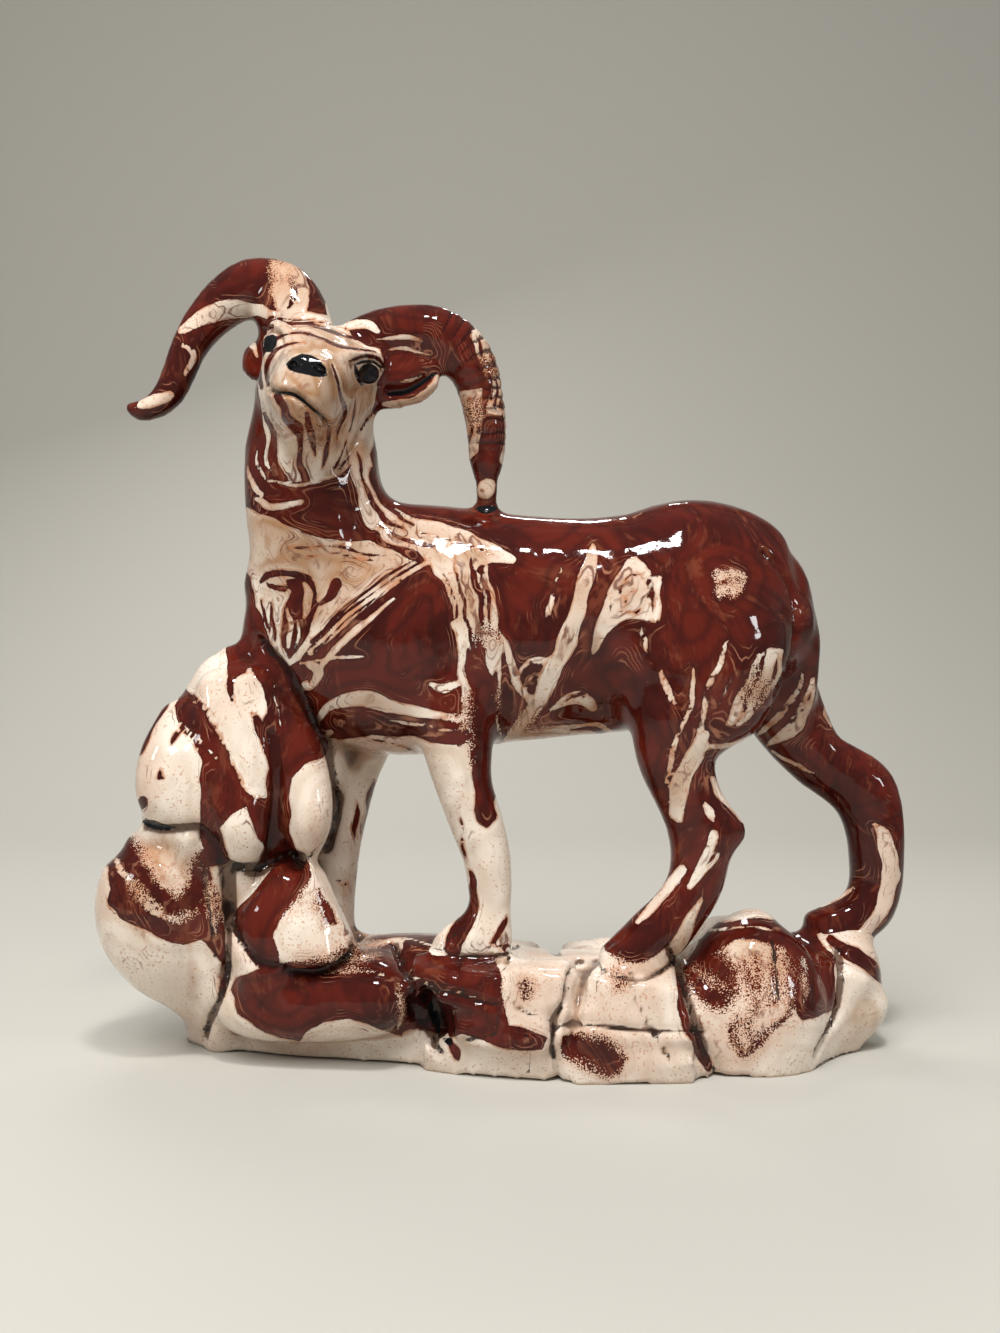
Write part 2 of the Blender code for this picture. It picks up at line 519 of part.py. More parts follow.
def seam_weights(points):
    """How much each point is smoothed: 1 where two forms meet, 0 beyond their blend."""
    nearest = np.full(len(points), np.inf)
    own_blend = np.zeros(len(points))
    found = []
    for form_points, form_faces, blend in forms:
        tree = BVHTree.FromPolygons([Vector(p) for p in form_points], form_faces)
        low, high = form_points.min(0) - blend, form_points.max(0) + blend
        close = np.all((points > low) & (points < high), axis=1)
        distance = np.full(len(points), np.inf)
        for i in np.flatnonzero(close):
            hit = tree.find_nearest(points[i], blend + CLAY)
            if hit[3] is not None:
                distance[i] = hit[3]
        found.append((distance, blend))
        nearer = distance < nearest
        nearest[nearer] = distance[nearer]
        own_blend[nearer] = blend
    weights = np.zeros(len(points))
    for distance, blend in found:
        other = distance > nearest
        width = np.minimum(blend, own_blend)
        with np.errstate(invalid="ignore", divide="ignore"):
            share = np.where(other, 1 - distance / width, 0)
        weights = np.maximum(weights, np.clip(np.nan_to_num(share, neginf=0), 0, 1))
    return weights * weights * (3 - 2 * weights)


def smoothed(points, edges, weights, passes):
    """Each pass moves a point towards the mean of its neighbours, as far as its weight says."""
    start = np.concatenate([edges[:, 0], edges[:, 1]])
    end = np.concatenate([edges[:, 1], edges[:, 0]])
    count = np.bincount(start, minlength=len(points))
    for _ in range(round(passes)):
        total = np.stack([np.bincount(start, points[end, k], len(points)) for k in range(3)], 1)
        points = points + 0.6 * weights[:, None] * (total / count[:, None] - points)
    return points


def place(mesh, points):
    """Moves the corners of a mesh to these points, which are in millimetres."""
    mesh.vertices.foreach_set("co", (points * MM).astype(np.float32).ravel())
    mesh.update()


def pressed(points, normals, tree, strokes):
    """Pushes the points near each stroke inwards; a stroke is laid on the clay where it is seen."""
    moved = points.copy()
    for viewer, width, depth, readings in strokes:
        laid = []
        for x, z in through([(x, z, 0) for x, z in readings], 8)[:, :2]:
            hit = tree.ray_cast(viewer, (Vector((x, 0, z)) - viewer).normalized())
            if hit[0] is not None:
                laid.append(np.array(hit[0]))
        near = np.full(len(points), np.inf)
        for start, end in zip(laid[:-1], laid[1:]):
            run = end - start
            if run @ run > (4 * width + 6) ** 2:
                continue
            along = np.clip((points - start) @ run / max(run @ run, 1e-9), 0, 1)
            gap = np.linalg.norm(points - start - along[:, None] * run, axis=1)
            near = np.minimum(near, gap)
        share = np.clip(1 - (near / width) ** 2, 0, 1) ** 2
        moved -= normals * (depth * share)[:, None]
    return moved


def sculpture():
    skin = remeshed(joined_forms(), CLAY)
    points = np.array([v.co for v in skin.vertices]) / MM
    edges = np.array([e.vertices for e in skin.edges])
    points = smoothed(points, edges, seam_weights(points), SMOOTH_PASSES)
    for strokes in (HOLLOWS, CREVICES):
        place(skin, points)
        normals = np.array([n.vector for n in skin.vertex_normals])
        tree = BVHTree.FromPolygons(points.tolist(), [tuple(f.vertices) for f in skin.polygons])
        points = pressed(points, normals, tree, strokes)
    points = smoothed(points, edges, np.full(len(points), 0.6), 2)
    place(skin, points)
    figure = bpy.data.objects.new("ram_figurine", skin)
    bpy.context.scene.collection.objects.link(figure)
    thin = figure.modifiers.new("Thin", "DECIMATE")
    thin.ratio = FACE_BUDGET / (2 * len(skin.polygons))
    cut_foot(figure)
    return figure


def cut_foot(figure):
    """Cuts everything below Z = 0 away, which leaves the flat foot."""
    mesh = bpy.data.meshes.new("foot_cutter")
    maker = bmesh.new()
    bmesh.ops.create_cube(maker, size=1)
    bmesh.ops.scale(maker, vec=(0.4, 0.2, 0.1), verts=maker.verts)
    bmesh.ops.translate(maker, vec=(0, 0, -0.05), verts=maker.verts)
    maker.to_mesh(mesh)
    maker.free()
    cutter = bpy.data.objects.new("foot_cutter", mesh)
    cutter.hide_render = True
    cutter.display_type = "WIRE"
    bpy.context.scene.collection.objects.link(cutter)
    cut = figure.modifiers.new("Foot", "BOOLEAN")
    cut.operation = "DIFFERENCE"
    cut.object = cutter


def glaze():
    material = bpy.data.materials.new("marbled_glaze")
    material.use_nodes = True
    shader = material.node_tree.nodes["Principled BSDF"]
    shader.inputs["Base Color"].default_value = (0.16, 0.035, 0.02, 1)
    shader.inputs["Roughness"].default_value = 0.1
    shader.inputs["Metallic"].default_value = 0.0
    return material


def build():
    for old in list(bpy.data.objects):
        bpy.data.objects.remove(old)
    trunk()
    neck()
    legs()
    tail()
    head()
    horns()
    ears()
    slab()
    chest_boulder()
    end_boulder()
    spur_rock()
    front_rocks()
    round_boulder()
    back_rocks()
    figure = sculpture()
    figure.data.materials.append(glaze())
    figure.data.shade_smooth()


build()
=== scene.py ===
# %% [markdown]
# # A marbled ceramic ram
#
# The object is a mantel figurine: a bighorn ram standing on a heap of rocks, cast in one piece
# of clay and covered with red-brown and cream slip under a clear gloss glaze. Everything that
# can be seen is one skin of clay, so this lesson models it the way a sculptor would: rough
# forms first, then one skin over all of them, then lines pressed into it, and the slip last.
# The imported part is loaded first, because it fixes the size and the place of the object.

# %% The frame
import time

import bmesh
import bpy
import math
import numpy as np
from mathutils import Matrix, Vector
from mathutils.bvhtree import BVHTree


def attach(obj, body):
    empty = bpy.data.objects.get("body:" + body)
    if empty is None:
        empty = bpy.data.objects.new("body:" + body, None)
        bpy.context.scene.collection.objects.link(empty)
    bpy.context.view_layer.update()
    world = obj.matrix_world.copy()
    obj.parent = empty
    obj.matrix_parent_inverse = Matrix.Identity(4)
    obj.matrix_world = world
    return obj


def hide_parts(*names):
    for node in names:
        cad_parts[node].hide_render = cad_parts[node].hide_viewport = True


started = time.time()
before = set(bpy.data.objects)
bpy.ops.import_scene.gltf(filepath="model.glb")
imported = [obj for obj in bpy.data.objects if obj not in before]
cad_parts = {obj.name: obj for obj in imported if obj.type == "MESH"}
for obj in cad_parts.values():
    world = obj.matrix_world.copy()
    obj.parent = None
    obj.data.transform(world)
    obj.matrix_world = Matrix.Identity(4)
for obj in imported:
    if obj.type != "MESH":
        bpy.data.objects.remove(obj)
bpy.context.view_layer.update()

# %% [markdown]
# Small objects are easier to think about in millimetres. All forms, lines and brush strokes
# below are in millimetres, and only the finished mesh is scaled to metres. Places on the
# surface are read off a front view and a back view, each seen from 42 cm away, which is how
# one would measure a figurine through a lens. A reading is the place where the line of sight
# crosses the middle plane, so the same numbers serve to press a line and to paint a stroke.

# %% Sizes that everything follows
MM = 0.001
GROUND = 34.0
LEG_SPREAD = 16.0
TRUNK_HALF_WIDTH = 27.0
NECK_HALF_WIDTH = 21.0
HORN_RADIUS = 10.5
FOOT_CUT = 20.0
EYES = (-53.5, -20.0, 209.0)

NEAR = Vector((0, -420, 119))
FAR = Vector((0, 420, 119))
CLAY = 1.58
FLESH_BLEND = 9.0
HORN_BLEND = 4.0
ROCK_BLEND = 2.6
RING = 22
print("clay grid", CLAY, "mm")

# %% [markdown]
# ## Forms
#
# A leg, a horn or a trunk is a tube whose width changes along a bent line. It could be a curve object with a
# bevel and a taper, but a curve has one radius at each point and these sections are oval. So each form is a
# loft: a smooth line through listed stations, an oval ring at every step of it, and a dome at both ends.
# Rocks with flat faces are convex hulls of a few corners. The forms overlap freely, because the skin is made
# over all of them afterwards.

# %% Lofts and blocks
forms = []


def through(stations, steps=5):
    """Points on a smooth curve through the stations, each a row of numbers."""
    rows = np.array(stations, float)
    padded = np.vstack([2 * rows[0] - rows[1], rows, 2 * rows[-1] - rows[-2]])
    points = []
    for i in range(len(rows) - 1):
        a, b, c, d = padded[i:i + 4]
        for t in np.linspace(0, 1, steps, endpoint=False):
            points.append(0.5 * (2 * b + (c - a) * t + (2 * a - 5 * b + 4 * c - d) * t ** 2
                                 + (3 * b - a - 3 * c + d) * t ** 3))
    points.append(rows[-1])
    return np.array(points)


def rounded_ends(rows, dome):
    """Adds rings that close each end of a run of sections with a dome."""
    first = rows[0, :3] - rows[1, :3]
    last = rows[-1, :3] - rows[-2, :3]
    first /= np.linalg.norm(first)
    last /= np.linalg.norm(last)
    start, end = [], []
    for angle in np.radians([20, 40, 60, 78]):
        for row, way, kept in ((rows[0], first, start), (rows[-1], last, end)):
            reach = dome * min(row[3], row[4]) * np.sin(angle)
            kept.append([*(row[:3] + way * reach), row[3] * np.cos(angle), row[4] * np.cos(angle)])
    return np.vstack([start[::-1], rows, end])


def loft(stations, blend, side=(0, 1, 0), dome=0.8, square=2.0):
    """A closed form through stations of x, y, z, radius in plane and radius along side."""
    rows = rounded_ends(through(stations), dome)
    centres = rows[:, :3]
    along = np.gradient(centres, axis=0)
    along /= np.linalg.norm(along, axis=1)[:, None]
    across = np.array(side, float) - along * (along @ np.array(side, float))[:, None]
    across /= np.linalg.norm(across, axis=1)[:, None]
    plane = np.cross(across, along)
    turn = np.linspace(0, 2 * np.pi, RING, endpoint=False)
    power = 2.0 / square
    c = np.sign(np.cos(turn)) * np.abs(np.cos(turn)) ** power
    s = np.sign(np.sin(turn)) * np.abs(np.sin(turn)) ** power
    points = (centres[:, None]
              + plane[:, None] * (rows[:, 3:4] * c)[:, :, None]
              + across[:, None] * (rows[:, 4:5] * s)[:, :, None]).reshape(-1, 3)
    faces = []
    for i in range(len(rows) - 1):
        for j in range(RING):
            k = (j + 1) % RING
            faces.append((i * RING + j, i * RING + k, (i + 1) * RING + k, (i + 1) * RING + j))
    faces.append(tuple(range(RING))[::-1])
    faces.append(tuple(range(len(points) - RING, len(points))))
    forms.append((points, faces, blend))


def block(corners, blend=ROCK_BLEND):
    """A flat-sided stone: the convex hull of its corners."""
    mesh = bmesh.new()
    for corner in corners:
        mesh.verts.new(corner)
    hull = bmesh.ops.convex_hull(mesh, input=mesh.verts)
    bmesh.ops.delete(mesh, geom=hull["geom_interior"], context="VERTS")
    bmesh.ops.recalc_face_normals(mesh, faces=mesh.faces)
    mesh.verts.index_update()
    points = np.array([v.co for v in mesh.verts], float)
    faces = [tuple(v.index for v in f.verts) for f in mesh.faces]
    mesh.free()
    forms.append((points, faces, blend))


def standing(stations):
    """Stations whose heights are measured from the ground that the hooves stand on."""
    return [(x, y, GROUND + z, a, b) for x, y, z, a, b in stations]

# %% [markdown]
# ## The animal
#
# The trunk is one long loft whose sections are taller than they are wide, and the shoulder
# blades are two short lofts that stand a little proud of it. The legs carry on up into the
# trunk, which is what gives the thighs and shoulders their swell once the joints are smoothed.

# %% Trunk and neck
def trunk():
    w = TRUNK_HALF_WIDTH
    loft(standing([
        (-69, 0, 113, 13, 0.5 * w),
        (-63, 0, 107, 25, 0.76 * w),
        (-51, 0, 101, 34, 0.93 * w),
        (-34, 0, 97, 39.5, w),
        (-14, 0, 97, 38, w),
        (6, 0, 97, 35.5, 0.97 * w),
        (26, 0, 97.5, 34, 0.93 * w),
        (44, 0, 99, 34, 0.94 * w),
        (60, 0, 101.5, 35.8, 0.93 * w),
        (73, 0, 101, 32.8, 0.82 * w),
        (82, 0, 98, 24, 0.66 * w),
        (88, 0, 96, 15, 0.45 * w),
    ]), FLESH_BLEND)
    for side in (-1, 1):
        # shoulder blade and the muscle below it
        loft(standing([
            (-20, side * 11, 118, 9, 10), (-25, side * 17, 104, 13, 10.5), (-31, side * 18.5, 90, 13, 9.5),
            (-34, side * 15, 78, 10, 8),
        ]), FLESH_BLEND)


def neck():
    w = NECK_HALF_WIDTH
    loft(standing([
        (-47, 0, 104, 29, 1.05 * w),
        (-53, -2, 121, 25, 1.05 * w),
        (-57.5, -4, 138, 21.5, w),
        (-58, -6, 154, 20, 0.95 * w),
        (-57, -8, 168, 17, 0.84 * w),
    ]), FLESH_BLEND)


trunk()
neck()
print(len(forms), "forms in the trunk and neck")

# %% [markdown]
# Each leg is one loft from the haunch or shoulder down to the pastern, with the hock and the
# hoof bent forward in the same line where they can be, and as lofts of their own where they
# branch off. The stations were placed on the outlines of the legs in the front view.

# %% Legs and tail
def legs():
    s = LEG_SPREAD
    near_fore = [
        (-21, 3.5 - s, 98, 17, 11), (-16, 0.5 - s, 78, 15, 11), (-13, -0.5 - s, 63, 11.5, 10),
        (-11, -0.5 - s, 50, 8.8, 8.8), (-7, -0.5 - s, 38, 8.2, 8.2), (-4, -0.5 - s, 28, 7.3, 7.6),
        (-3, -0.5 - s, 18, 6.8, 7), (-2.5, -0.5 - s, 10, 7, 7.2), (-3, -0.5 - s, 3, 7.5, 7.8),
    ]
    near_fore_hoof = [
        (0, -1 - s, 4.5, 6.5, 8), (-7, -1.5 - s, 5, 7, 8.2), (-12.5, -2 - s, 3.5, 6, 7.5),
        (-17, -2 - s, 1, 4.2, 6),
    ]
    far_fore = [
        (-40, s - 5, 84, 15, 10), (-43, s - 3.5, 66, 11.5, 9), (-47, s - 3.5, 52, 8.5, 8.5),
        (-49.5, s - 4, 40, 7.6, 8), (-51.5, s - 4, 28, 7, 7.6), (-53, s - 4, 16, 7, 7.6),
        (-54, s - 4, 6, 7.4, 8), (-54.5, s - 4, -2, 8, 9),
    ]
    near_hind = [
        (70, 10 - s, 116, 18, 14), (64, 6 - s, 104, 26, 17), (61.5, 3.5 - s, 90, 26.5, 17.5),
        (58.5, 1.5 - s, 76.5, 23, 15.5), (54.5, -s, 66.5, 17, 13), (53, -1 - s, 57, 12, 10.5),
        (56, -1 - s, 47.5, 10.2, 9), (59.5, -1 - s, 40.5, 10.6, 8.8), (60.5, -1 - s, 33, 10, 8.4),
        (59.8, -1 - s, 25.5, 9, 8), (57.5, -1.5 - s, 18, 8.4, 7.8), (53, -2 - s, 11.5, 8.4, 8),
        (48, -2.5 - s, 6, 9, 9), (42.5, -3 - s, 1.5, 8.6, 9.2), (36.5, -3.5 - s, -1, 6.8, 8.2),
        (32.5, -3.5 - s, -2, 4.4, 6.4),
    ]
    near_hock = [
        (62, -1 - s, 42, 6, 6.5), (68, -1 - s, 38.8, 5.4, 6), (71.4, -1 - s, 35, 4.2, 5),
        (70.6, -1 - s, 32, 3.4, 4),
    ]
    far_hind = [
        (78, s - 7, 98, 17, 12), (87, s - 3, 80, 14.5, 10.5), (95, s - 1, 65.5, 12, 9.5),
        (102.5, s - 1, 55.5, 10, 8.5), (110, s - 1, 50.5, 10.2, 8.3), (117.5, s - 1, 44.5, 11, 8),
        (121, s - 1, 34, 9.8, 7.8), (121.8, s - 1, 22, 9, 7.6), (121.3, s - 1, 13.5, 8.6, 7.6),
        (118, s - 2, 6.5, 8.6, 8), (111, s - 3, 3, 7.5, 8), (104.5, s - 4, 2.5, 6, 7.4),
        (100.5, s - 4, 3, 4, 5.6),
    ]
    for leg in (near_fore, near_fore_hoof, far_fore, near_hind, near_hock, far_hind):
        loft(standing(leg), FLESH_BLEND)


def tail():
    loft(standing([
        (80, 2, 124, 5, 5), (87.5, 2, 117.5, 5.5, 6), (92.5, 2, 108, 5.5, 6),
        (95.6, 2, 96, 5, 5.6), (96.2, 3, 86, 4.4, 5), (96.4, 5, 77, 3.8, 4.6), (96.5, 8, 69, 2.6, 3.6),
    ]), 3.0)


legs()
tail()
print(len(forms), "forms with the legs and tail")

# %% [markdown]
# The head is turned to the viewer, so its parts are placed in a frame of their own: ahead,
# towards its far side, and up. Skull, lower jaw, lip, brows, cheeks and nose pad are separate
# small lofts, as a modeller adds pellets of clay to a face.

# %% Head and ears
def on_head(ahead, side, lift):
    """A place on the head, which is turned to the viewer with its far eye held higher."""
    forward = Vector((0.03, -0.955, -0.29)).normalized()
    level = Vector((0.955, 0.03, -0.30))
    level = (level - forward * level.dot(forward)).normalized()
    return Vector(EYES) + forward * ahead + level * side + forward.cross(level) * lift


def head_form(rows, blend, side=0.0):
    """A loft along the head through rows of ahead, lift, tall and wide."""
    stations = [(*on_head(s, side, lift), tall, wide) for s, lift, tall, wide in rows]
    loft(stations, blend, side=on_head(0, 1, 0) - on_head(0, 0, 0))


def head():
    head_form([
        (-24, -4, 8, 10), (-16, -4, 13, 15), (-6, -4, 14.5, 17), (3, -4, 14, 16.5),
        (12, -4, 12, 13), (21, -5, 11.5, 11.4), (29, -6.5, 11, 11.2), (34, -7, 9.5, 10),
    ], FLESH_BLEND)
    # lower jaw
    head_form([
        (-14, -19, 12, 13), (0, -18, 10, 11), (12, -17, 7.5, 9), (24, -15.5, 5.5, 8), (30, -14.5, 4.5, 6.5),
    ], FLESH_BLEND)
    # upper lip, which hangs over the mouth
    head_form([(16, -7, 7.5, 11.6), (26, -7.5, 8, 12.2), (33, -8, 7, 10.6)], 4.0)
    for side in (-1, 1):
        brow = [
            (-7, 15.6, 4.6, 3.2, 3), (0, 15, 6, 3, 2.6), (7, 12.4, 6.8, 2.6, 2.2), (14, 8, 6.6, 2.2, 2),
            (21, 4, 5, 1.6, 1.6),
        ]
        loft([(*on_head(a, side * s, lift), r, q) for a, s, lift, r, q in brow], 4.0)
        eye = [(2.8, 14.7, 1.2, 3.4, 3.4), (3.6, 14.9, 1.2, 3.4, 3.4)]
        loft([(*on_head(a, side * s, lift), r, q) for a, s, lift, r, q in eye], 0.8, dome=1.0)
        cheek = [(-8, 13, -12, 6, 5), (4, 12, -11, 5.5, 4.5), (13, 9.5, -12, 4, 3.5)]
        loft([(*on_head(a, side * s, lift), r, q) for a, s, lift, r, q in cheek], FLESH_BLEND)
    # the nose pad
    loft([(*on_head(34.5, s, 2 + 0.1 * s), 3.4, 3.4) for s in (-3.6, 0, 3.6)], 1.2, side=(0, -1, 0))


def ears():
    loft(standing([
        (-41, -9, 168, 5, 4), (-34, -11, 170, 7, 3.6), (-28, -12, 171, 7.4, 3.4),
        (-23, -12, 172.5, 6, 3), (-19.6, -11.5, 175, 2.6, 2.2),
    ]), HORN_BLEND)
    loft(standing([
        (-67, -5, 176, 6, 4), (-72.5, -2, 179.5, 7.5, 3.4), (-76, 2, 182.5, 7, 3.2),
        (-78.5, 6, 185, 4, 2.4),
    ]), HORN_BLEND)


head()
ears_from = len(forms)
ears()
print(len(forms), "forms with the head")

# %% [markdown]
# The horns sweep out from the top of the skull. One flares outwards at its tip, and the other
# comes down behind the neck and ends in a bead on the withers, which also props it in the kiln.

# %% Horns
def horn_stations():
    """Stations of the far horn and of the near horn, each from root to tip."""
    r = HORN_RADIUS
    far_horn = [
        (-59, -3, 180, 0.95 * r, 0.95 * r), (-64.5, 0, 193.5, 1.1 * r, r),
        (-69, 3, 201.5, 1.03 * r, 0.95 * r), (-77.5, 4, 204, 0.93 * r, 0.88 * r),
        (-85, 3, 200.5, 0.79 * r, 0.76 * r), (-92, 1, 193, 0.65 * r, 0.67 * r),
        (-96.5, -2, 184.5, 0.55 * r, 0.57 * r), (-99.5, -4, 175.5, 0.5 * r, 0.51 * r),
        (-102, -6, 169, 0.46 * r, 0.46 * r), (-106, -8, 164.5, 0.38 * r, 0.42 * r),
        (-110.5, -9, 163.2, 0.3 * r, 0.38 * r), (-113, -9, 164, 0.2 * r, 0.28 * r),
    ]
    near_horn = [
        (-50, -6, 180, 0.72 * r, 0.76 * r), (-43.5, -7, 183.5, 0.76 * r, 0.8 * r),
        (-35.5, -8, 186.5, 0.78 * r, 0.8 * r), (-27.5, -8, 187, 0.84 * r, 0.8 * r),
        (-19.5, -8, 186, 0.88 * r, 0.8 * r), (-12, -7, 181.5, 0.83 * r, 0.76 * r),
        (-8, -7, 176, 0.74 * r, 0.72 * r), (-5.8, -6, 168.5, 0.66 * r, 0.65 * r),
        (-4.3, -6, 159.5, 0.62 * r, 0.6 * r), (-4.1, -5, 152, 0.56 * r, 0.56 * r),
        (-4.2, -5, 146.5, 0.49 * r, 0.49 * r), (-4.2, -5, 144.8, 0.42 * r, 0.42 * r),
    ]
    return standing(far_horn), standing(near_horn)


horns_from = len(forms)
far_horn, near_horn = horn_stations()
loft(far_horn, HORN_BLEND)
loft(near_horn, HORN_BLEND)
# the near horn ends in a bead that sits on the withers
loft(standing([(-4.1, -5, 139.4, 3.9, 3.9), (-4.1, -5, 138.8, 3.9, 3.9)]), 0.8, dome=1.0)
loft(standing([(-4, -4, 138, 2.8, 3.2), (-3.5, -3, 130, 3.4, 4)]), 1.2)
rocks_from = len(forms)
print(rocks_from, "forms with the horns")

# %% [markdown]
# ## The rocks
#
# The base is a long slab with boulders heaped at the head end, flat-sided rocks along the
# front and one round boulder under the raised hind hoof. Water-worn stones are lofts and split
# stones are hulls, and a little smoothing later rounds the hulls' edges like soft clay.

# %% Slab and boulders
def slab():
    """The body of the base, whose top is the ground and whose plan is a long oval."""
    half = (GROUND + FOOT_CUT) / 2
    middle = GROUND - half
    loft([
        (-92, 10, middle - 14, half - 14, 7),
        (-82, 9, middle - 6, half - 6, 13),
        (-65, 8, middle - 2, half - 2, 19),
        (-40, 5, middle, half, 21),
        (-15, 2, middle, half, 24),
        (10, -2, middle - 2, half - 2, 31),
        (35, -3, middle - 2, half - 2, 33),
        (62, -1, middle - 1, half - 1, 30),
        (85, 1, middle - 1, half - 1, 25),
        (102, 3, middle - 3, half - 3, 15),
        (108, 3, middle - 8, half - 8, 9),
    ], ROCK_BLEND, dome=0.3, square=2.6)


def chest_boulder():
    """The tall boulder under the chest, with lobes that hang from its face."""
    b = ROCK_BLEND
    loft([
        (-80, -2, 48, 20, 17), (-81, -2, 62, 24, 20), (-82, -3, 70, 27, 22), (-82, -4, 79, 29.5, 24),
        (-81.5, -4, 89, 28, 24), (-81, -3, 99, 24, 21.5), (-81.5, -3, 108, 18.5, 18),
        (-81.5, -3, 116, 13, 13), (-80.5, -2, 121, 7.5, 8),
    ], b, dome=0.6)
    loft([(-97, -10, 103, 7, 8), (-99, -13, 92, 10, 10), (-99.5, -14, 82, 10.5, 11),
        (-99, -13, 76, 9, 10)], b)
    loft([
        (-84, -14, 112, 8, 9), (-81, -18, 98, 11, 9), (-77.5, -21, 84, 9.5, 8), (-76, -24, 73, 7.8, 7.5),
        (-75.5, -23, 66, 6.4, 6.5),
    ], b)
    loft([
        (-67, -10, 106, 7, 9), (-62, -15, 95, 8, 9), (-57.5, -18, 84, 7, 8), (-56.5, -20, 74, 6.8, 7.5),
        (-58, -18, 66, 5.4, 6),
    ], b)
    loft([(-74, -12, 113, 8, 9), (-71.5, -15, 101, 9, 9), (-69, -16, 92, 8, 8)], b)
    # the clay that fills the hollow between it and the chest
    loft([(-62, 4, 112, 9, 16), (-56, 6, 98, 8, 15), (-53, 8, 84, 6, 13)], b)
    # its back
    loft([(-70, 16, 100, 12, 9), (-68, 19, 82, 14, 10), (-70, 19, 60, 15, 10), (-72, 17, 44, 14, 10)], b)
    loft([(-92, 14, 94, 12, 9), (-94, 17, 80, 13, 9), (-94, 17, 68, 12, 8)], b)


def end_boulder():
    """The low boulder at the left end, undercut towards the foot."""
    loft([
        (-94, 13, -14, 7, 9), (-94, 12, 3, 7, 9.5), (-94.2, 8, 13, 8, 11.5), (-96.6, 2, 22, 11.2, 15.5),
        (-101.4, -2, 31, 16.2, 20), (-104.5, -4, 41, 19.5, 22), (-105, -4, 52, 19, 21.5),
        (-105.5, -4, 60, 16, 18.5), (-106.5, -4, 65.5, 9.5, 12),
    ], ROCK_BLEND, dome=0.5)
    # a buttress that joins it to the rocks beside it
    loft([(-86, -6, 62, 10, 12), (-87, -7, 46, 9, 14), (-87, -5, 26, 8, 13.5),
        (-86, 4, 6, 9, 12)], ROCK_BLEND)
    loft([(-88, 16, 60, 10, 10), (-88, 17, 40, 12, 12), (-86, 16, 16, 13, 12),
        (-84, 16, -8, 12, 12)], ROCK_BLEND)


def spur_rock():
    """The small rock in front of the far foreleg, with a sharp ridge down its face."""
    b = ROCK_BLEND
    loft([(-70, -17, 24, 9, 11), (-69, -18, 34, 12, 11), (-67, -18, 44, 12, 10.5), (-65, -16, 53, 8, 8)], b)
    block([
        (-56, -23, 62), (-61.5, -31, 46), (-65, -31.5, 30), (-49, -31, 32), (-42, -24, 36), (-51, -23, 46),
        (-52, -6, 34), (-56, -10, 58), (-66, -10, 34), (-64, -12, 54),
    ], 1.4)
    block([
        (-53, -19, 60), (-48, -20, 46), (-42, -18, 35), (-52, -4, 34), (-46, -6, 34), (-55, -8, 57),
        (-58, -12, 50),
    ], 1.4)


slab()
chest_boulder()
end_boulder()
spur_rock()
print(len(forms), "forms with the slab and boulders")

# %% [markdown]
# The rocks along the front are split stones with flat faces and sharp edges, so their corners are listed and
# wrapped in a hull. The round boulder and the rocks behind mix both kinds.

# %% Split rocks
def front_rocks():
    b = ROCK_BLEND
    # the long low rock on the left
    loft([
        (-80, -5, 18, 8, 12), (-73, -9, 18, 12, 16), (-60, -10, 19, 13.5, 18.5), (-46, -11, 20, 13.5, 19.5),
        (-35, -12, 21, 12, 20), (-29, -12, 22, 9, 17),
    ], b, dome=0.3, square=2.3)
    loft([
        (-82, 8, -8, 9, 8), (-70, 5, -7, 11, 14.5), (-50, 2, -6, 12, 17), (-30, 0, -7, 12, 16.5),
        (-16, -3, -7, 11, 18),
    ], b, dome=0.3)
    # the split rocks in the middle
    block([
        (-27, -31, 31), (-26, -18, 34), (1, -35, 30), (1, -20, 33), (-26, -34, 24), (1, -38, 20),
        (-24, -20, 20), (0, -20, 16),
    ])
    block([
        (-14, -30, 20), (-13, -34, 12), (-1, -38, 18), (1, -37, 8), (0, -20, 18), (-12, -20, 6),
        (-13, -18, 18),
    ])
    block([
        (-23, -27, 8), (-22, -22, 10), (2, -34, 10), (18, -37, 8), (18, -20, 10), (-22, -20, -10),
        (-8, -25, -10), (2, -31, -10), (17, -34, -10), (-16, -10, -4), (10, -14, -6),
    ])
    block([
        (2, -33, 32), (20, -35, 31), (24, -22, 33), (1, -20, 33), (18, -39, 12), (2, -38, 12), (14, -37, 6),
        (0, -36, 8), (10, -20, 6),
    ])
    block([
        (25, -34, 30), (28, -22, 32), (52, -35, 27), (50, -20, 32), (22, -39, 12), (56, -38, 12),
        (22, -37, 8), (57, -35, 8),
    ])
    block([
        (21, -39, 8), (57, -38, 7), (22, -37, -10), (54, -35, -10), (30, -20, -10), (50, -20, -10),
        (22, -30, 9),
    ])


def round_boulder():
    """The round boulder under the far hind hoof and the blocks beyond it."""
    b = ROCK_BLEND
    loft([
        (75, -3, -14, 20, 22), (75.5, -5, -2, 23, 25), (76, -7, 9, 24.5, 25.5), (76.5, -7, 19, 24, 24.5),
        (77, -6, 28, 20.5, 20.5), (78, -3, 35.5, 14.5, 15), (79, -1, 40, 7, 9),
    ], b, dome=0.4)
    block([
        (102, -10, 29), (113, -10, 24), (117.5, -5, 20), (114, -3, 8), (109, -3, -10), (96, -10, -10),
        (98, -14, 26), (103, 18, 29), (116, 16, 21), (106, 18, -10), (114, 6, 6),
    ])
    loft([(104, 6, 27, 8, 10), (112, 8, 26.5, 8, 9.5), (117, 9, 21, 5, 7)], b)


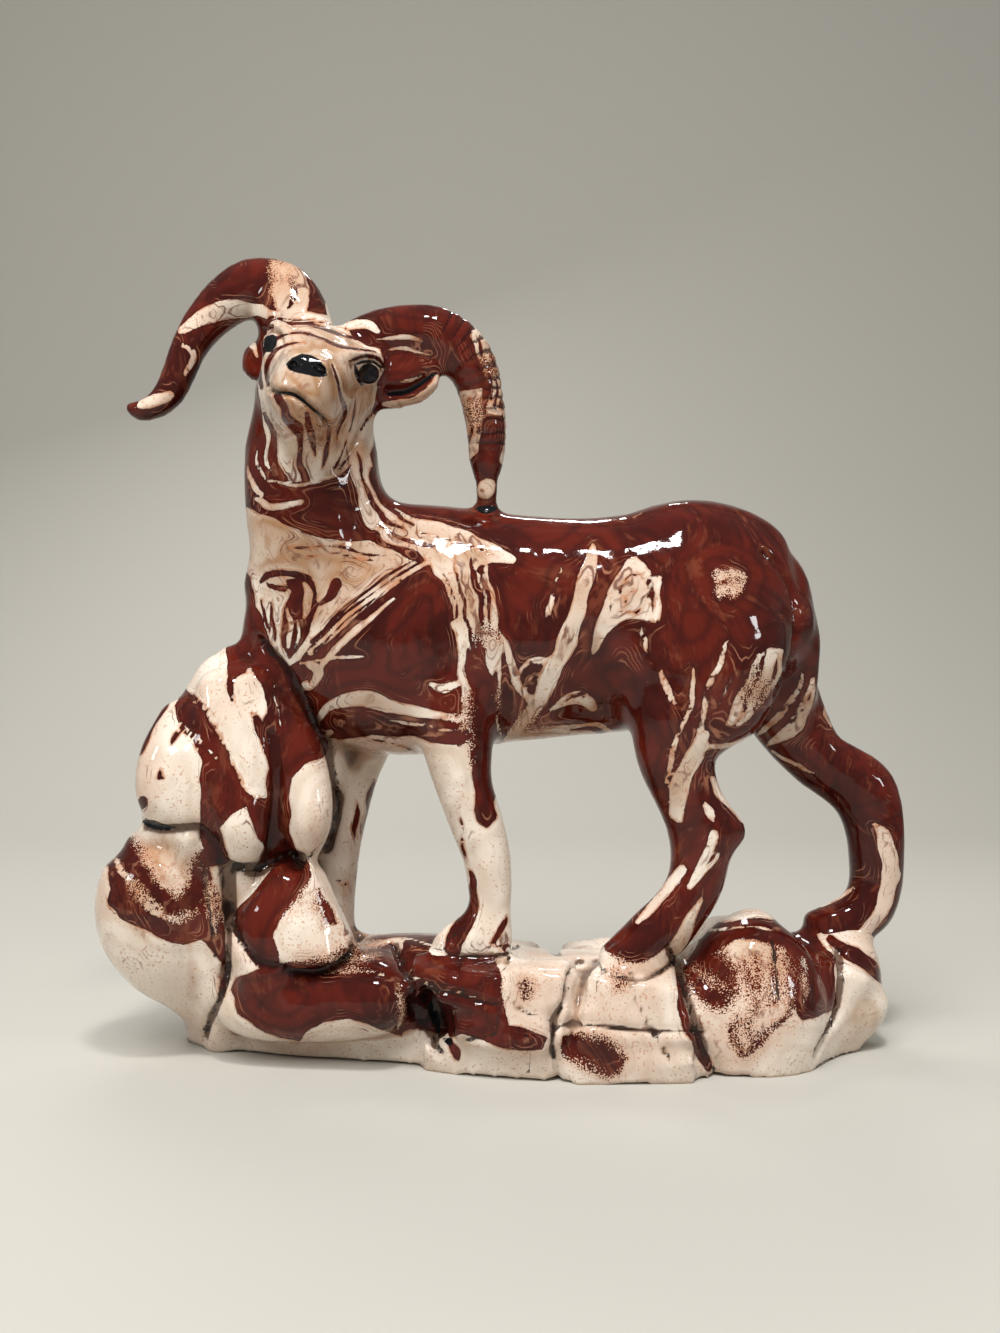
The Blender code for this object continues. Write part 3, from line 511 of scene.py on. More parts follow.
def back_rocks():
    b = ROCK_BLEND
    block([
        (-62, 24, 28), (-20, 26, 30), (-18, 33, 16), (-60, 30, 16), (-58, 30, -10), (-22, 33, -10),
        (-40, 8, 33), (-30, 8, -10),
    ])
    block([
        (-15, 27, 28), (14, 25, 28), (16, 33, 14), (-14, 35, 13), (-12, 34, -10), (12, 33, -10), (0, 8, 33),
        (0, 8, -10),
    ])
    block([
        (20, 25, 28), (48, 26, 30), (52, 33, 15), (21, 33, 15), (24, 32, -10), (46, 32, -10), (34, 8, 33),
        (34, 8, -10),
    ])
    loft([(70, 14, -14, 18, 14), (71, 15, 6, 19, 15), (72, 14, 20, 17, 14), (73, 12, 30, 12, 11)], b)
    loft([(93, 12, -12, 12, 12), (94, 12, 8, 13, 13), (95, 12, 24, 12, 12)], b)


front_rocks()
round_boulder()
back_rocks()
print(len(forms), "forms in all")

# %% [markdown]
# ## One skin
#
# A slip casting has one outer skin, with no seams between its parts. A Boolean union would
# leave sharp creases wherever two forms meet. A voxel remesh gives an even grid of faces over
# the outside of everything, and that even grid is also what smoothing and pressing need.

# %% Joining the forms
def merged(group):
    """The points and faces of some forms, numbered through as one mesh."""
    points, faces = [], []
    for form_points, form_faces, _ in group:
        first = sum(map(len, points))
        points.append(form_points)
        faces.extend(tuple(first + i for i in face) for face in form_faces)
    return np.vstack(points), faces


def joined_forms():
    """One mesh, in metres, that holds every form."""
    points, faces = merged(forms)
    mesh = bpy.data.meshes.new("forms")
    mesh.from_pydata((points * MM).tolist(), [], faces)
    return mesh


def remeshed(mesh, voxel):
    """The outer skin of the forms, as the Remesh modifier finds it."""
    holder = bpy.data.objects.new("forms", mesh)
    bpy.context.scene.collection.objects.link(holder)
    remesh = holder.modifiers.new("Remesh", "REMESH")
    remesh.mode = "VOXEL"
    remesh.voxel_size = voxel * MM
    graph = bpy.context.evaluated_depsgraph_get()
    skin = bpy.data.meshes.new_from_object(holder.evaluated_get(graph))
    bpy.data.objects.remove(holder)
    return skin


skin = remeshed(joined_forms(), CLAY)
print(len(skin.vertices), "points in the skin,", round(time.time() - started, 1), "s")

# %% [markdown]
# Where a leg runs into a flank there is soft flesh, but where two rocks meet there is a crack.
# So the skin is smoothed only near a joint between two forms, over a width that each form
# brings with it: wide for muscle and narrow for stone. Each point's distance to its two
# nearest forms tells how near a joint it is.

# %% Smoothing the joints
def place(mesh, points):
    """Moves the corners of a mesh to these points, which are in millimetres."""
    mesh.vertices.foreach_set("co", (points * MM).astype(np.float32).ravel())
    mesh.update()


# 45 passes suit a grid of 1.5 mm; a coarser grid needs fewer to smooth as far
SMOOTH_PASSES = round(45 * (1.5 / CLAY) ** 2)
SMOOTH_STEP = 0.6
LIGHT = 0.6


def seam_weights(points):
    """How much each point is smoothed: 1 where two forms meet, 0 beyond their blend."""
    nearest = np.full(len(points), np.inf)
    own_blend = np.zeros(len(points))
    found = []
    for form_points, form_faces, blend in forms:
        tree = BVHTree.FromPolygons([Vector(p) for p in form_points], form_faces)
        low, high = form_points.min(0) - blend, form_points.max(0) + blend
        close = np.all((points > low) & (points < high), axis=1)
        distance = np.full(len(points), np.inf)
        for i in np.flatnonzero(close):
            hit = tree.find_nearest(points[i], blend + CLAY)
            if hit[3] is not None:
                distance[i] = hit[3]
        found.append((distance, blend))
        nearer = distance < nearest
        nearest[nearer] = distance[nearer]
        own_blend[nearer] = blend
    weights = np.zeros(len(points))
    for distance, blend in found:
        other = distance > nearest
        width = np.minimum(blend, own_blend)
        with np.errstate(invalid="ignore", divide="ignore"):
            share = np.where(other, 1 - distance / width, 0)
        weights = np.maximum(weights, np.clip(np.nan_to_num(share, neginf=0), 0, 1))
    return weights * weights * (3 - 2 * weights)


def smoothed(points, edges, weights, passes):
    """Each pass moves a point towards the mean of its neighbours, as far as its weight says."""
    start = np.concatenate([edges[:, 0], edges[:, 1]])
    end = np.concatenate([edges[:, 1], edges[:, 0]])
    count = np.bincount(start, minlength=len(points))
    for _ in range(round(passes)):
        total = np.stack([np.bincount(start, points[end, k], len(points)) for k in range(3)], 1)
        points = points + SMOOTH_STEP * weights[:, None] * (total / count[:, None] - points)
    return points


points = np.array([v.co for v in skin.vertices]) / MM
edges = np.array([e.vertices for e in skin.edges])
points = smoothed(points, edges, seam_weights(points), SMOOTH_PASSES)
points = smoothed(points, edges, np.full(len(points), LIGHT), 2)
place(skin, points)
print("joints smoothed,", round(time.time() - started, 1), "s")

# %% [markdown]
# The real foot is fettled level so that the figurine stands. The skin is cut with a plane at
# Z = 0 and the cut is filled with one face. This is done before the lines are pressed, so that
# every later number belongs to one of the final points.

# %% The level foot
def levelled(mesh):
    """Cuts the mesh at Z = 0, closes the cut and counts the edges left open."""
    maker = bmesh.new()
    maker.from_mesh(mesh)
    everything = maker.verts[:] + maker.edges[:] + maker.faces[:]
    cut = bmesh.ops.bisect_plane(maker, geom=everything, dist=1e-6, plane_co=(0, 0, 0), plane_no=(0, 0, 1),
                                 clear_inner=True)
    rim = [e for e in cut["geom_cut"] if isinstance(e, bmesh.types.BMEdge)]
    foot = bmesh.ops.holes_fill(maker, edges=rim, sides=0)["faces"]
    bmesh.ops.triangulate(maker, faces=foot)
    bmesh.ops.recalc_face_normals(maker, faces=maker.faces)
    open_edges = sum(1 for e in maker.edges if len(e.link_faces) != 2)
    maker.to_mesh(mesh)
    maker.free()
    return open_edges


print(levelled(skin), "open edges")

# %% [markdown]
# A face needs finer clay than a flank. Where fine lines are wanted, every edge of the grid is cut
# in two, and around the eyes and the nose once more. The places are discs in the front view, and
# only faces that look towards the viewer are cut. One finer grid for the whole figurine would
# cost four times the faces.

# %% Finer clay where the detail is
FINE_PLACES = [(-58, 205, 28), (-52, 168, 26), (-48, 140, 30), (-10, 128, 20), (-14, 214, 22), (-32, 221, 12),
               (0, 190, 12)]
FINEST_PLACES = [(-58, 211, 13), (-41, 210.5, 7.5)]
EDGE_ON = 0.15


def readings(points, viewer):
    """Where each point is seen on the middle plane, as x and z, from a viewer."""
    scale = viewer.y / (viewer.y - points[:, 1])
    return np.stack([points[:, 0] * scale, viewer.z + (points[:, 2] - viewer.z) * scale], 1)


def refined(mesh, places):
    """Cuts the edges in two of all faces that are seen in one of these discs."""
    centres = np.array([f.center for f in mesh.polygons]) / MM
    normals = np.array([f.normal for f in mesh.polygons])
    seen = readings(centres, NEAR)
    chosen = np.zeros(len(centres), bool)
    for x, z, radius in places:
        chosen |= ((seen - (x, z)) ** 2).sum(1) < radius ** 2
    chosen &= normals[:, 1] < EDGE_ON
    maker = bmesh.new()
    maker.from_mesh(mesh)
    maker.faces.ensure_lookup_table()
    cut = {edge for i in np.flatnonzero(chosen) for edge in maker.faces[i].edges}
    cut = sorted(cut, key=lambda edge: edge.index)
    bmesh.ops.subdivide_edges(maker, edges=cut, cuts=1, use_grid_fill=True)
    maker.to_mesh(mesh)
    maker.free()


refined(skin, FINE_PLACES)
refined(skin, FINEST_PLACES)
points = np.array([v.co for v in skin.vertices]) / MM
edges = np.array([e.vertices for e in skin.edges])
on_foot = points[:, 2] < 0.001
points = smoothed(points, edges, np.where(on_foot, 0, LIGHT), 2)
print(len(points), "points,", sum(len(f.vertices) - 2 for f in skin.polygons), "triangles")

# %% [markdown]
# ## Pressed lines
#
# Crevices, the mouth, the fold beside the tail and the hollow of the ear are pressed in with a
# tool. A stroke is a list of readings; a ray from the viewer finds where each one lies on the
# clay, and the points near that line move inwards along their normals, most in the middle.

# %% The strokes
def both_sides(width, depth, line):
    """The same stroke for the viewer in front and the viewer behind."""
    return [(viewer, width, depth, line) for viewer in (NEAR, FAR)]


CREVICES = [
    # between the chest and the tall boulder, and down beside the far foreleg
    (NEAR, 2.2, 2.6, [(-75, 127), (-67, 118), (-61, 108), (-56, 98), (-53, 91), (-51, 82), (-51, 72),
        (-54, 62)]),
    (NEAR, 2.8, 2.0, [(-71, 98), (-70, 88), (-70, 78), (-71, 68), (-73, 60)]),
    (NEAR, 1.8, 1.6, [(-67, 63), (-61, 58.5), (-54, 64)]),
    (NEAR, 1.8, 1.4, [(-89, 66), (-87, 59), (-80, 55.5), (-73, 58)]),
    (NEAR, 2.2, 3.0, [(-114, 71), (-107, 68), (-100, 68), (-94, 68), (-89, 62)]),
    # either side of the low boulder's buttress
    (NEAR, 2.0, 2.4, [(-88, 60), (-86, 50), (-85, 38), (-85, 28), (-87, 18), (-91, 8), (-93, 2)]),
    (NEAR, 1.4, 1.2, [(-95, 66), (-92, 50), (-90, 36), (-89, 28)]),
    # around the spur rock
    (NEAR, 2.0, 2.6, [(-63, 60), (-69, 59), (-76, 55), (-83, 57), (-84, 45), (-82, 34), (-76, 27),
        (-66, 24)]),
    (NEAR, 1.6, 2.0, [(-66, 24), (-56, 24), (-48, 29), (-43, 36)]),
    # between the long low rock and the split rocks
    (NEAR, 2.0, 3.0, [(-33, 33), (-30, 26), (-28, 20), (-27, 12), (-22, 4), (-19, -2)]),
    (NEAR, 3.6, 5.0, [(-24, 17), (-21, 11), (-19, 6)]),
    (NEAR, 1.6, 2.0, [(-25, 19), (-17, 17.5), (-9, 15), (-1, 13)]),
    (NEAR, 1.4, 1.4, [(0, 12), (-2, 4), (-12, 2)]),
    (NEAR, 1.2, 0.8, [(3, 28), (0.5, 22), (2, 16), (8, 11), (16, 8.5)]),
    (NEAR, 1.8, 3.0, [(25, 28), (22, 22), (21, 15), (17, 9), (16.5, 0), (17.7, -10)]),
    (NEAR, 1.3, 1.6, [(17, 6), (25, 7.4), (37.5, 5.8), (50, 5.5), (63.5, 5.3)]),
    (NEAR, 1.2, 1.1, [(41, 23), (41.7, 16.8), (46.9, 6.4), (53, -4)]),
    # around the round boulder
    (NEAR, 2.0, 2.6, [(53, 31), (57, 22), (60, 12), (64, 0), (68, -9)]),
    (NEAR, 1.5, 1.2, [(85.4, 33), (86.5, 24), (87, 15)]),
    (NEAR, 2.0, 3.0, [(106, 31), (107, 20), (105, 10), (99, -2)]),
    # where the hooves meet the rock
    (NEAR, 1.2, 1.0, [(-21, 31), (-12, 29), (0, 29), (6, 32)]),
    (NEAR, 1.3, 1.2, [(29, 28), (35, 23), (45, 21.5), (54, 26)]),
    # the back of the rocks
    (FAR, 2.0, 2.6, [(-75, 127), (-66, 116), (-60, 105), (-55, 92)]),
    (FAR, 2.0, 2.4, [(-82, 100), (-82, 84), (-80, 66), (-79, 50), (-78, 34), (-76, 14), (-76, -4)]),
    (FAR, 2.0, 2.4, [(-116, 66), (-104, 64), (-94, 60), (-84, 58)]),
    (FAR, 2.0, 2.6, [(-17, 34), (-17, 20), (-16, 6), (-16, -8)]),
    (FAR, 1.6, 2.0, [(-58, 16), (-44, 19), (-30, 17), (-18, 18)]),
    (FAR, 2.0, 2.6, [(18, 30), (18, 16), (19, 2), (19, -8)]),
    (FAR, 1.2, 1.2, [(30, 28), (34, 16), (40, 4)]),
    (FAR, 2.0, 2.4, [(50, 32), (54, 16), (55, 0), (54, -8)]),
    (FAR, 2.0, 2.4, [(84, 34), (85, 18), (85, 2), (84, -8)]),
]
HOLLOWS = [
    # mouth, and the creases of cheek and jaw
    (NEAR, 1.5, 2.0, [(-73, 206), (-70, 204.8), (-67, 204.5), (-64.5, 204), (-62, 202.5), (-60, 200.8),
        (-58, 199), (-56, 197.5), (-54.5, 196), (-53.8, 194.2)]),
    (NEAR, 2.0, 0.6, [(-52.5, 213.5), (-51, 209), (-49.5, 204), (-48.4, 200), (-49.5, 195), (-51, 190)]),
    (NEAR, 2.6, 1.0, [(-38.5, 199.5), (-42, 195.5), (-46, 187), (-50, 181)]),
    # eye sockets: a fold under the brow and the corner of the eye
    (NEAR, 1.5, 1.3, [(-46.4, 213.4), (-44, 214.8), (-41, 215.2), (-38, 214), (-36.4, 211.5)]),
    (NEAR, 1.5, 1.5, [(-46.2, 213), (-45.6, 209.5), (-43.8, 206.6)]),
    (NEAR, 1.3, 1.0, [(-43, 206.6), (-40.5, 206), (-37.8, 207.6)]),
    (NEAR, 1.4, 1.4, [(-74, 223.5), (-71.5, 224), (-69, 222.6), (-68.2, 219.5), (-69.4, 216.5)]),
    # nostrils
    (NEAR, 1.3, 1.1, [(-65.8, 213.6), (-63.4, 213.4)]),
    (NEAR, 1.3, 1.1, [(-57.4, 212.6), (-55.2, 211.2)]),
    # the cup of the ear
    (NEAR, 2.8, 2.8, [(-34, 205), (-30, 205.4), (-26, 207.2), (-22, 210)]),
    # behind the shoulder, the flank and the fold beside the tail
    *both_sides(12.0, 1.5, [(7, 142), (4, 126), (8, 108)]),
    *both_sides(9.0, 2.0, [(29, 126), (30, 116), (32, 106)]),
    *both_sides(1.8, 2.2, [(82, 155), (87.5, 150), (91, 143), (92.5, 135.5), (92.3, 128), (90, 119),
        (86, 110.5)]),
    *both_sides(8.0, 1.6, [(-44, 168), (-43, 152), (-48, 136)]),
]
FINE_LINES = [
    # clefts of the hooves
    (NEAR, 1.2, 1.2, [(-13, 36.5), (-15.5, 34.5), (-17.5, 33)]),
    (NEAR, 1.3, 1.3, [(38, 35), (34.5, 32.5), (31, 30)]),
    # nostrils, and the corners of the eyes
    (NEAR, 1.3, 1.0, [(-64.5, 213.5), (-65.6, 212.3)]),
    (NEAR, 1.3, 1.0, [(-56.4, 212.6), (-55.2, 211.6)]),
    # finer cracks in the split rocks
    (NEAR, 0.9, 0.7, [(-12, 30), (-13, 24), (-11.5, 18)]),
    (NEAR, 0.9, 0.6, [(30, 30), (31, 22), (29, 15)]),
    (NEAR, 0.9, 0.6, [(8, 4), (10, -2), (8.5, -8)]),
]
print(len(CREVICES) + len(HOLLOWS) + len(FINE_LINES), "strokes to press")

# %% [markdown]
# A crease could be a sculpted stroke or a bump in the material, but a stroke made by hand can't
# be repeated by a script, and a bump vanishes at the outline. Moving the points gives real
# creases, which catch the light from every side.

# %% Pressing them in
def pressed(points, normals, tree, strokes):
    """Pushes the points near each stroke inwards; a stroke is laid on the clay where it is seen."""
    moved = points.copy()
    for viewer, width, depth, line in strokes:
        laid = []
        for x, z in through([(x, z, 0) for x, z in line], 8)[:, :2]:
            hit = tree.ray_cast(viewer, (Vector((x, 0, z)) - viewer).normalized())
            if hit[0] is not None:
                laid.append(np.array(hit[0]))
        near = np.full(len(points), np.inf)
        for start, end in zip(laid[:-1], laid[1:]):
            run = end - start
            # a long step means that the line leaps from one form to another, so it is lifted there
            if run @ run > (4 * width + 6) ** 2:
                continue
            along = np.clip((points - start) @ run / max(run @ run, 1e-9), 0, 1)
            gap = np.linalg.norm(points - start - along[:, None] * run, axis=1)
            near = np.minimum(near, gap)
        share = np.clip(1 - (near / width) ** 2, 0, 1) ** 2
        moved -= normals * (depth * share)[:, None]
    return moved


def faced():
    """The direction that the clay faces at every point."""
    place(skin, points)
    return np.array([n.vector for n in skin.vertex_normals])


depth = np.zeros(len(points))
for strokes in (HOLLOWS, CREVICES, FINE_LINES):
    normals = faced()
    tree = BVHTree.FromPolygons(points.tolist(), [tuple(f.vertices) for f in skin.polygons])
    before = points
    points = pressed(points, normals, tree, strokes)
    if strokes is not HOLLOWS:
        depth += np.linalg.norm(points - before, axis=1)
print("lines pressed,", round(time.time() - started, 1), "s")

# %% [markdown]
# A ram's horn grows in rings. Each ring is a shallow groove across the horn, so the points of a
# horn move in by a wave of their distance along its middle line. The rings are strongest on the
# outer curve, fade towards the root and the tip, and are faint on the far horn.

# %% Horn rings
RING_SPACING = 3.1
RING_DEPTH = 0.4
RING_FADE = 0.08
HORN_REACH = 12


def ringed(points, normals, path, first, last, strength):
    """Presses rings across the horn that follows path, between two shares of its length."""
    path = through(path, 12)[:, :3]
    steps = np.linalg.norm(np.diff(path, axis=0), axis=1)
    run = np.concatenate([[0], np.cumsum(steps)])
    low, high = path.min(0) - HORN_REACH, path.max(0) + HORN_REACH
    near = np.flatnonzero(np.all((points > low) & (points < high), axis=1))
    gap = np.linalg.norm(points[near, None] - path[None], axis=2)
    nearest = gap.argmin(1)
    along = run[nearest]
    inside = gap.min(1) < HORN_REACH
    # the inner curve gets a third of the depth that the outer curve gets
    outward = path[nearest] - path.mean(0)
    outward /= np.linalg.norm(outward, axis=1)[:, None]
    facing = 0.35 + 0.65 * np.clip((normals[near] * outward).sum(1) + 0.35, 0, 1)
    share = along / run[-1]
    fade = np.clip((share - first) / RING_FADE, 0, 1) * np.clip((last - share) / RING_FADE, 0, 1)
    wave = 0.5 + 0.5 * np.cos(2 * np.pi * along / RING_SPACING)
    moved = points.copy()
    depth = RING_DEPTH * strength * wave ** 3 * fade * facing * inside
    moved[near] -= normals[near] * depth[:, None]
    return moved


normals = faced()
before = points
points = ringed(points, normals, near_horn[3:], 0.08, 0.92, 1.0)
points = ringed(points, normals, far_horn[1:9], 0.15, 0.9, 0.35)
ring_depth = np.linalg.norm(points - before, axis=1)
points = smoothed(points, edges, np.full(len(points), LIGHT), 1)
points[on_foot, 2] = 0
normals = faced()
skin.shade_smooth()
print("horns ringed,", round(time.time() - started, 1), "s")

# %% [markdown]
# ## Slip and glaze
#
# The decoration is two slips, a red-brown and a cream, poured and trailed over each other and
# dragged before they set. Painting such a pattern as a picture would tie it to one view. Here
# every brush stroke is a line with a width, laid on the surface from the same two viewpoints as
# the pressed lines, and all strokes together make one number for every point: how many
# millimetres it lies inside the cream (above 0) or inside the brown (below 0). The shader later
# turns that number into colours, and draws the fine flow lines that run along its contours.

# %% Inside a stroke or a patch
CREAM, BROWN = 1, -1
SLIP_REACH = 9.0


def inside_line(places, stroke):
    """How far each place lies inside a stroke of x, z and half-width, in millimetres."""
    best = np.full(len(places), -99.0)
    if len(stroke) == 1:
        return stroke[0][2] - np.linalg.norm(places - np.array(stroke[0][:2]), axis=1)
    rows = through([(*row, 0) for row in stroke], 4)[:, :3] if len(stroke) > 2 else np.array(stroke, float)
    for a, b in zip(rows[:-1], rows[1:]):
        run = b[:2] - a[:2]
        t = np.clip((places - a[:2]) @ run / max(run @ run, 1e-9), 0, 1)
        gap = np.linalg.norm(places - a[:2] - t[:, None] * run, axis=1)
        best = np.maximum(best, a[2] + (b[2] - a[2]) * t - gap)
    return best


def inside_patch(places, corners):
    """How far each place lies inside a closed outline: negative outside it."""
    outline = np.array(corners, float)
    gap = np.full(len(places), 99.0)
    inside = np.zeros(len(places), bool)
    for a, b in zip(outline, np.roll(outline, -1, axis=0)):
        run = b - a
        t = np.clip((places - a) @ run / max(run @ run, 1e-9), 0, 1)
        gap = np.minimum(gap, np.linalg.norm(places - a - t[:, None] * run, axis=1))
        crosses = (a[1] > places[:, 1]) != (b[1] > places[:, 1])
        with np.errstate(divide="ignore", invalid="ignore"):
            at = a[0] + (places[:, 1] - a[1]) * (b[0] - a[0]) / (b[1] - a[1])
        inside ^= crosses & (places[:, 0] < at)
    return np.where(inside, gap, -gap)


def inside_shape(places, shape):
    """How far each place lies inside a patch of x and z, or inside a stroke with widths."""
    return inside_patch(places, shape) if len(shape[0]) == 2 else inside_line(places, shape)


def painted(places, strokes, field):
    """Lays each stroke over the ones before it: cream raises the field, brown lowers it."""
    field = field.copy()
    for slip, shape in strokes:
        corners = np.array([row[:2] for row in shape])
        margin = SLIP_REACH + max(row[-1] if len(row) == 3 else 0 for row in shape)
        low, high = corners.min(0) - margin, corners.max(0) + margin
        near = np.flatnonzero(np.all((places > low) & (places < high), axis=1))
        inside = inside_shape(places[near], shape)
        field[near] = np.maximum(field[near], inside) if slip == CREAM else np.minimum(field[near], -inside)
    return np.clip(field, -SLIP_REACH, SLIP_REACH)


print("a stroke is felt up to", SLIP_REACH, "mm away")

# %% [markdown]
# The animal's near side comes first: a cream head, chest and forelegs, a brown body crossed by
# trailed cream bands, and brown hind legs with cream stripes. A patch is an outline of x and z;
# a stroke has a half-width as its third number.

# %% Slip on the head and neck
HEAD_SLIP = [
    (CREAM, [(-79, 219), (-75, 226), (-66, 230), (-56, 229), (-46, 226), (-38, 221), (-36, 212),
        (-36, 200), (-39, 190), (-42, 181), (-47, 177), (-58, 176), (-66, 175), (-73, 182), (-74, 196),
        (-76, 208)]),
    (BROWN, [(-79, 200, 2.5), (-79, 188, 5), (-78, 176, 5), (-79, 168, 2)]),
    # lines that flow around the muzzle and over the brow
    (BROWN, [(-72.5, 207, 0.5), (-73, 212, 0.7), (-71.5, 216, 0.6), (-69, 218.5, 0.45), (-65, 220, 0.4),
        (-61, 220.4, 0.2)]),
    (BROWN, [(-75, 215, 0.5), (-73, 219, 0.7), (-69, 222, 0.5), (-63, 223.3, 0.4), (-57, 222, 0.45),
        (-51, 219.4, 0.4), (-45, 218.3, 0.4), (-39, 217.4, 0.3)]),
    (BROWN, [(-66, 226.6, 0.3), (-58, 225.6, 0.5), (-50, 222.8, 0.5), (-43, 221, 0.45), (-37.5, 219, 0.4)]),
    (BROWN, [(-47, 214.4, 0.3), (-42, 216, 0.6), (-38, 215, 0.6), (-35.6, 211.6, 0.6)]),
    # cheek, jaw and chin
    (BROWN, [(-52.5, 213.5, 0.2), (-51, 209, 0.4), (-50, 204, 0.5), (-48.5, 200, 0.7), (-49, 196.5, 0.5),
        (-50.5, 193, 0.4), (-51, 190, 0.2)]),
    (BROWN, [(-38.5, 199.5, 0.3), (-40, 198, 0.4), (-42, 195.5, 0.45), (-44, 191.5, 0.5), (-46, 187, 0.5),
        (-50, 181, 0.5)]),
    (BROWN, [(-69.5, 203.5, 1.3), (-67.5, 200, 1.2), (-66.5, 196.5, 1.5), (-63.5, 193.5, 1.9),
        (-62.5, 190, 1), (-62, 182, 1.2), (-60.5, 176, 1.6)]),
    (BROWN, [(-73.6, 198, 0.6), (-71, 192, 1), (-71, 184, 1.6), (-68, 178, 1.5)]),
    (BROWN, [(-60.4, 198, 0.7), (-59, 191, 1.1), (-57.6, 185, 0.4)]),
    (BROWN, [(-53.4, 194, 0.5), (-53.6, 190, 0.5), (-54.5, 186, 0.6), (-55.5, 181, 0.4)]),
    (BROWN, [(-45, 204, 0.1), (-46, 196, 0.35), (-48.4, 189, 0.35), (-51.6, 181, 0.5)]),
    # the brown collar and the strip that runs down to the withers
    (BROWN, [(-78, 173, 2.2), (-70, 174, 3.2), (-60, 173, 3.4), (-50, 174, 4.2), (-46, 179, 2.5),
        (-44, 186, 1)]),
    (BROWN, [(-64, 168, 1), (-55, 166, 2.6), (-47, 166, 3.2), (-42, 168, 2.4)]),
    (CREAM, [(-76, 171, 0.5), (-70, 169, 1.2), (-62, 170, 0.6)]),
    (CREAM, [(-78.4, 182, 0.2), (-77.6, 176.6, 0.8), (-74.6, 172.4, 0.5)]),
    (CREAM, [(-76.4, 187, 0.1), (-75.2, 181.6, 0.5), (-73, 177.6, 0.2)]),
    (CREAM, [(-72, 176.6, 0.3), (-64, 175.6, 0.6), (-56, 176.6, 0.4)]),
    (CREAM, [(-45, 190, 3), (-42.5, 177, 3.4), (-40, 169, 4), (-34, 163, 5), (-25, 160, 5),
        (-14, 158, 4.6), (-5, 155, 3.6), (3, 152.5, 1.4)]),
    (BROWN, [(-44.6, 186, 0.3), (-43, 180, 0.5), (-41, 172, 0.8), (-36, 165, 0.9), (-30, 162.6, 0.5)]),
    (BROWN, [(-40.4, 181, 0.3), (-38.6, 174, 0.6), (-34.6, 168, 0.6), (-27, 163.4, 0.4)]),
    (BROWN, [(-38, 163.5, 0.3), (-28, 158, 0.8), (-16, 155.5, 0.7), (-8, 153, 0.4)]),
    (BROWN, [(-26, 161.4, 0.2), (-17, 158.8, 0.45), (-8, 156, 0.5), (-1, 153, 0.3)]),
    (BROWN, [(-21, 153.8, 0.2), (-13, 153.4, 0.4), (-5, 151, 0.2)]),
    (BROWN, [(-37.5, 205, 0.9), (-37, 192, 1.2), (-36, 184, 1.6), (-33, 177, 2.4), (-27, 173.5, 3.4)]),
    (BROWN, [(-74.5, 206, 0.7), (-76, 214, 1.2), (-77, 221, 1.2)]),
    (BROWN, [(-75, 219, 1), (-74.4, 224, 1), (-71, 225.4, 0.7)]),
]
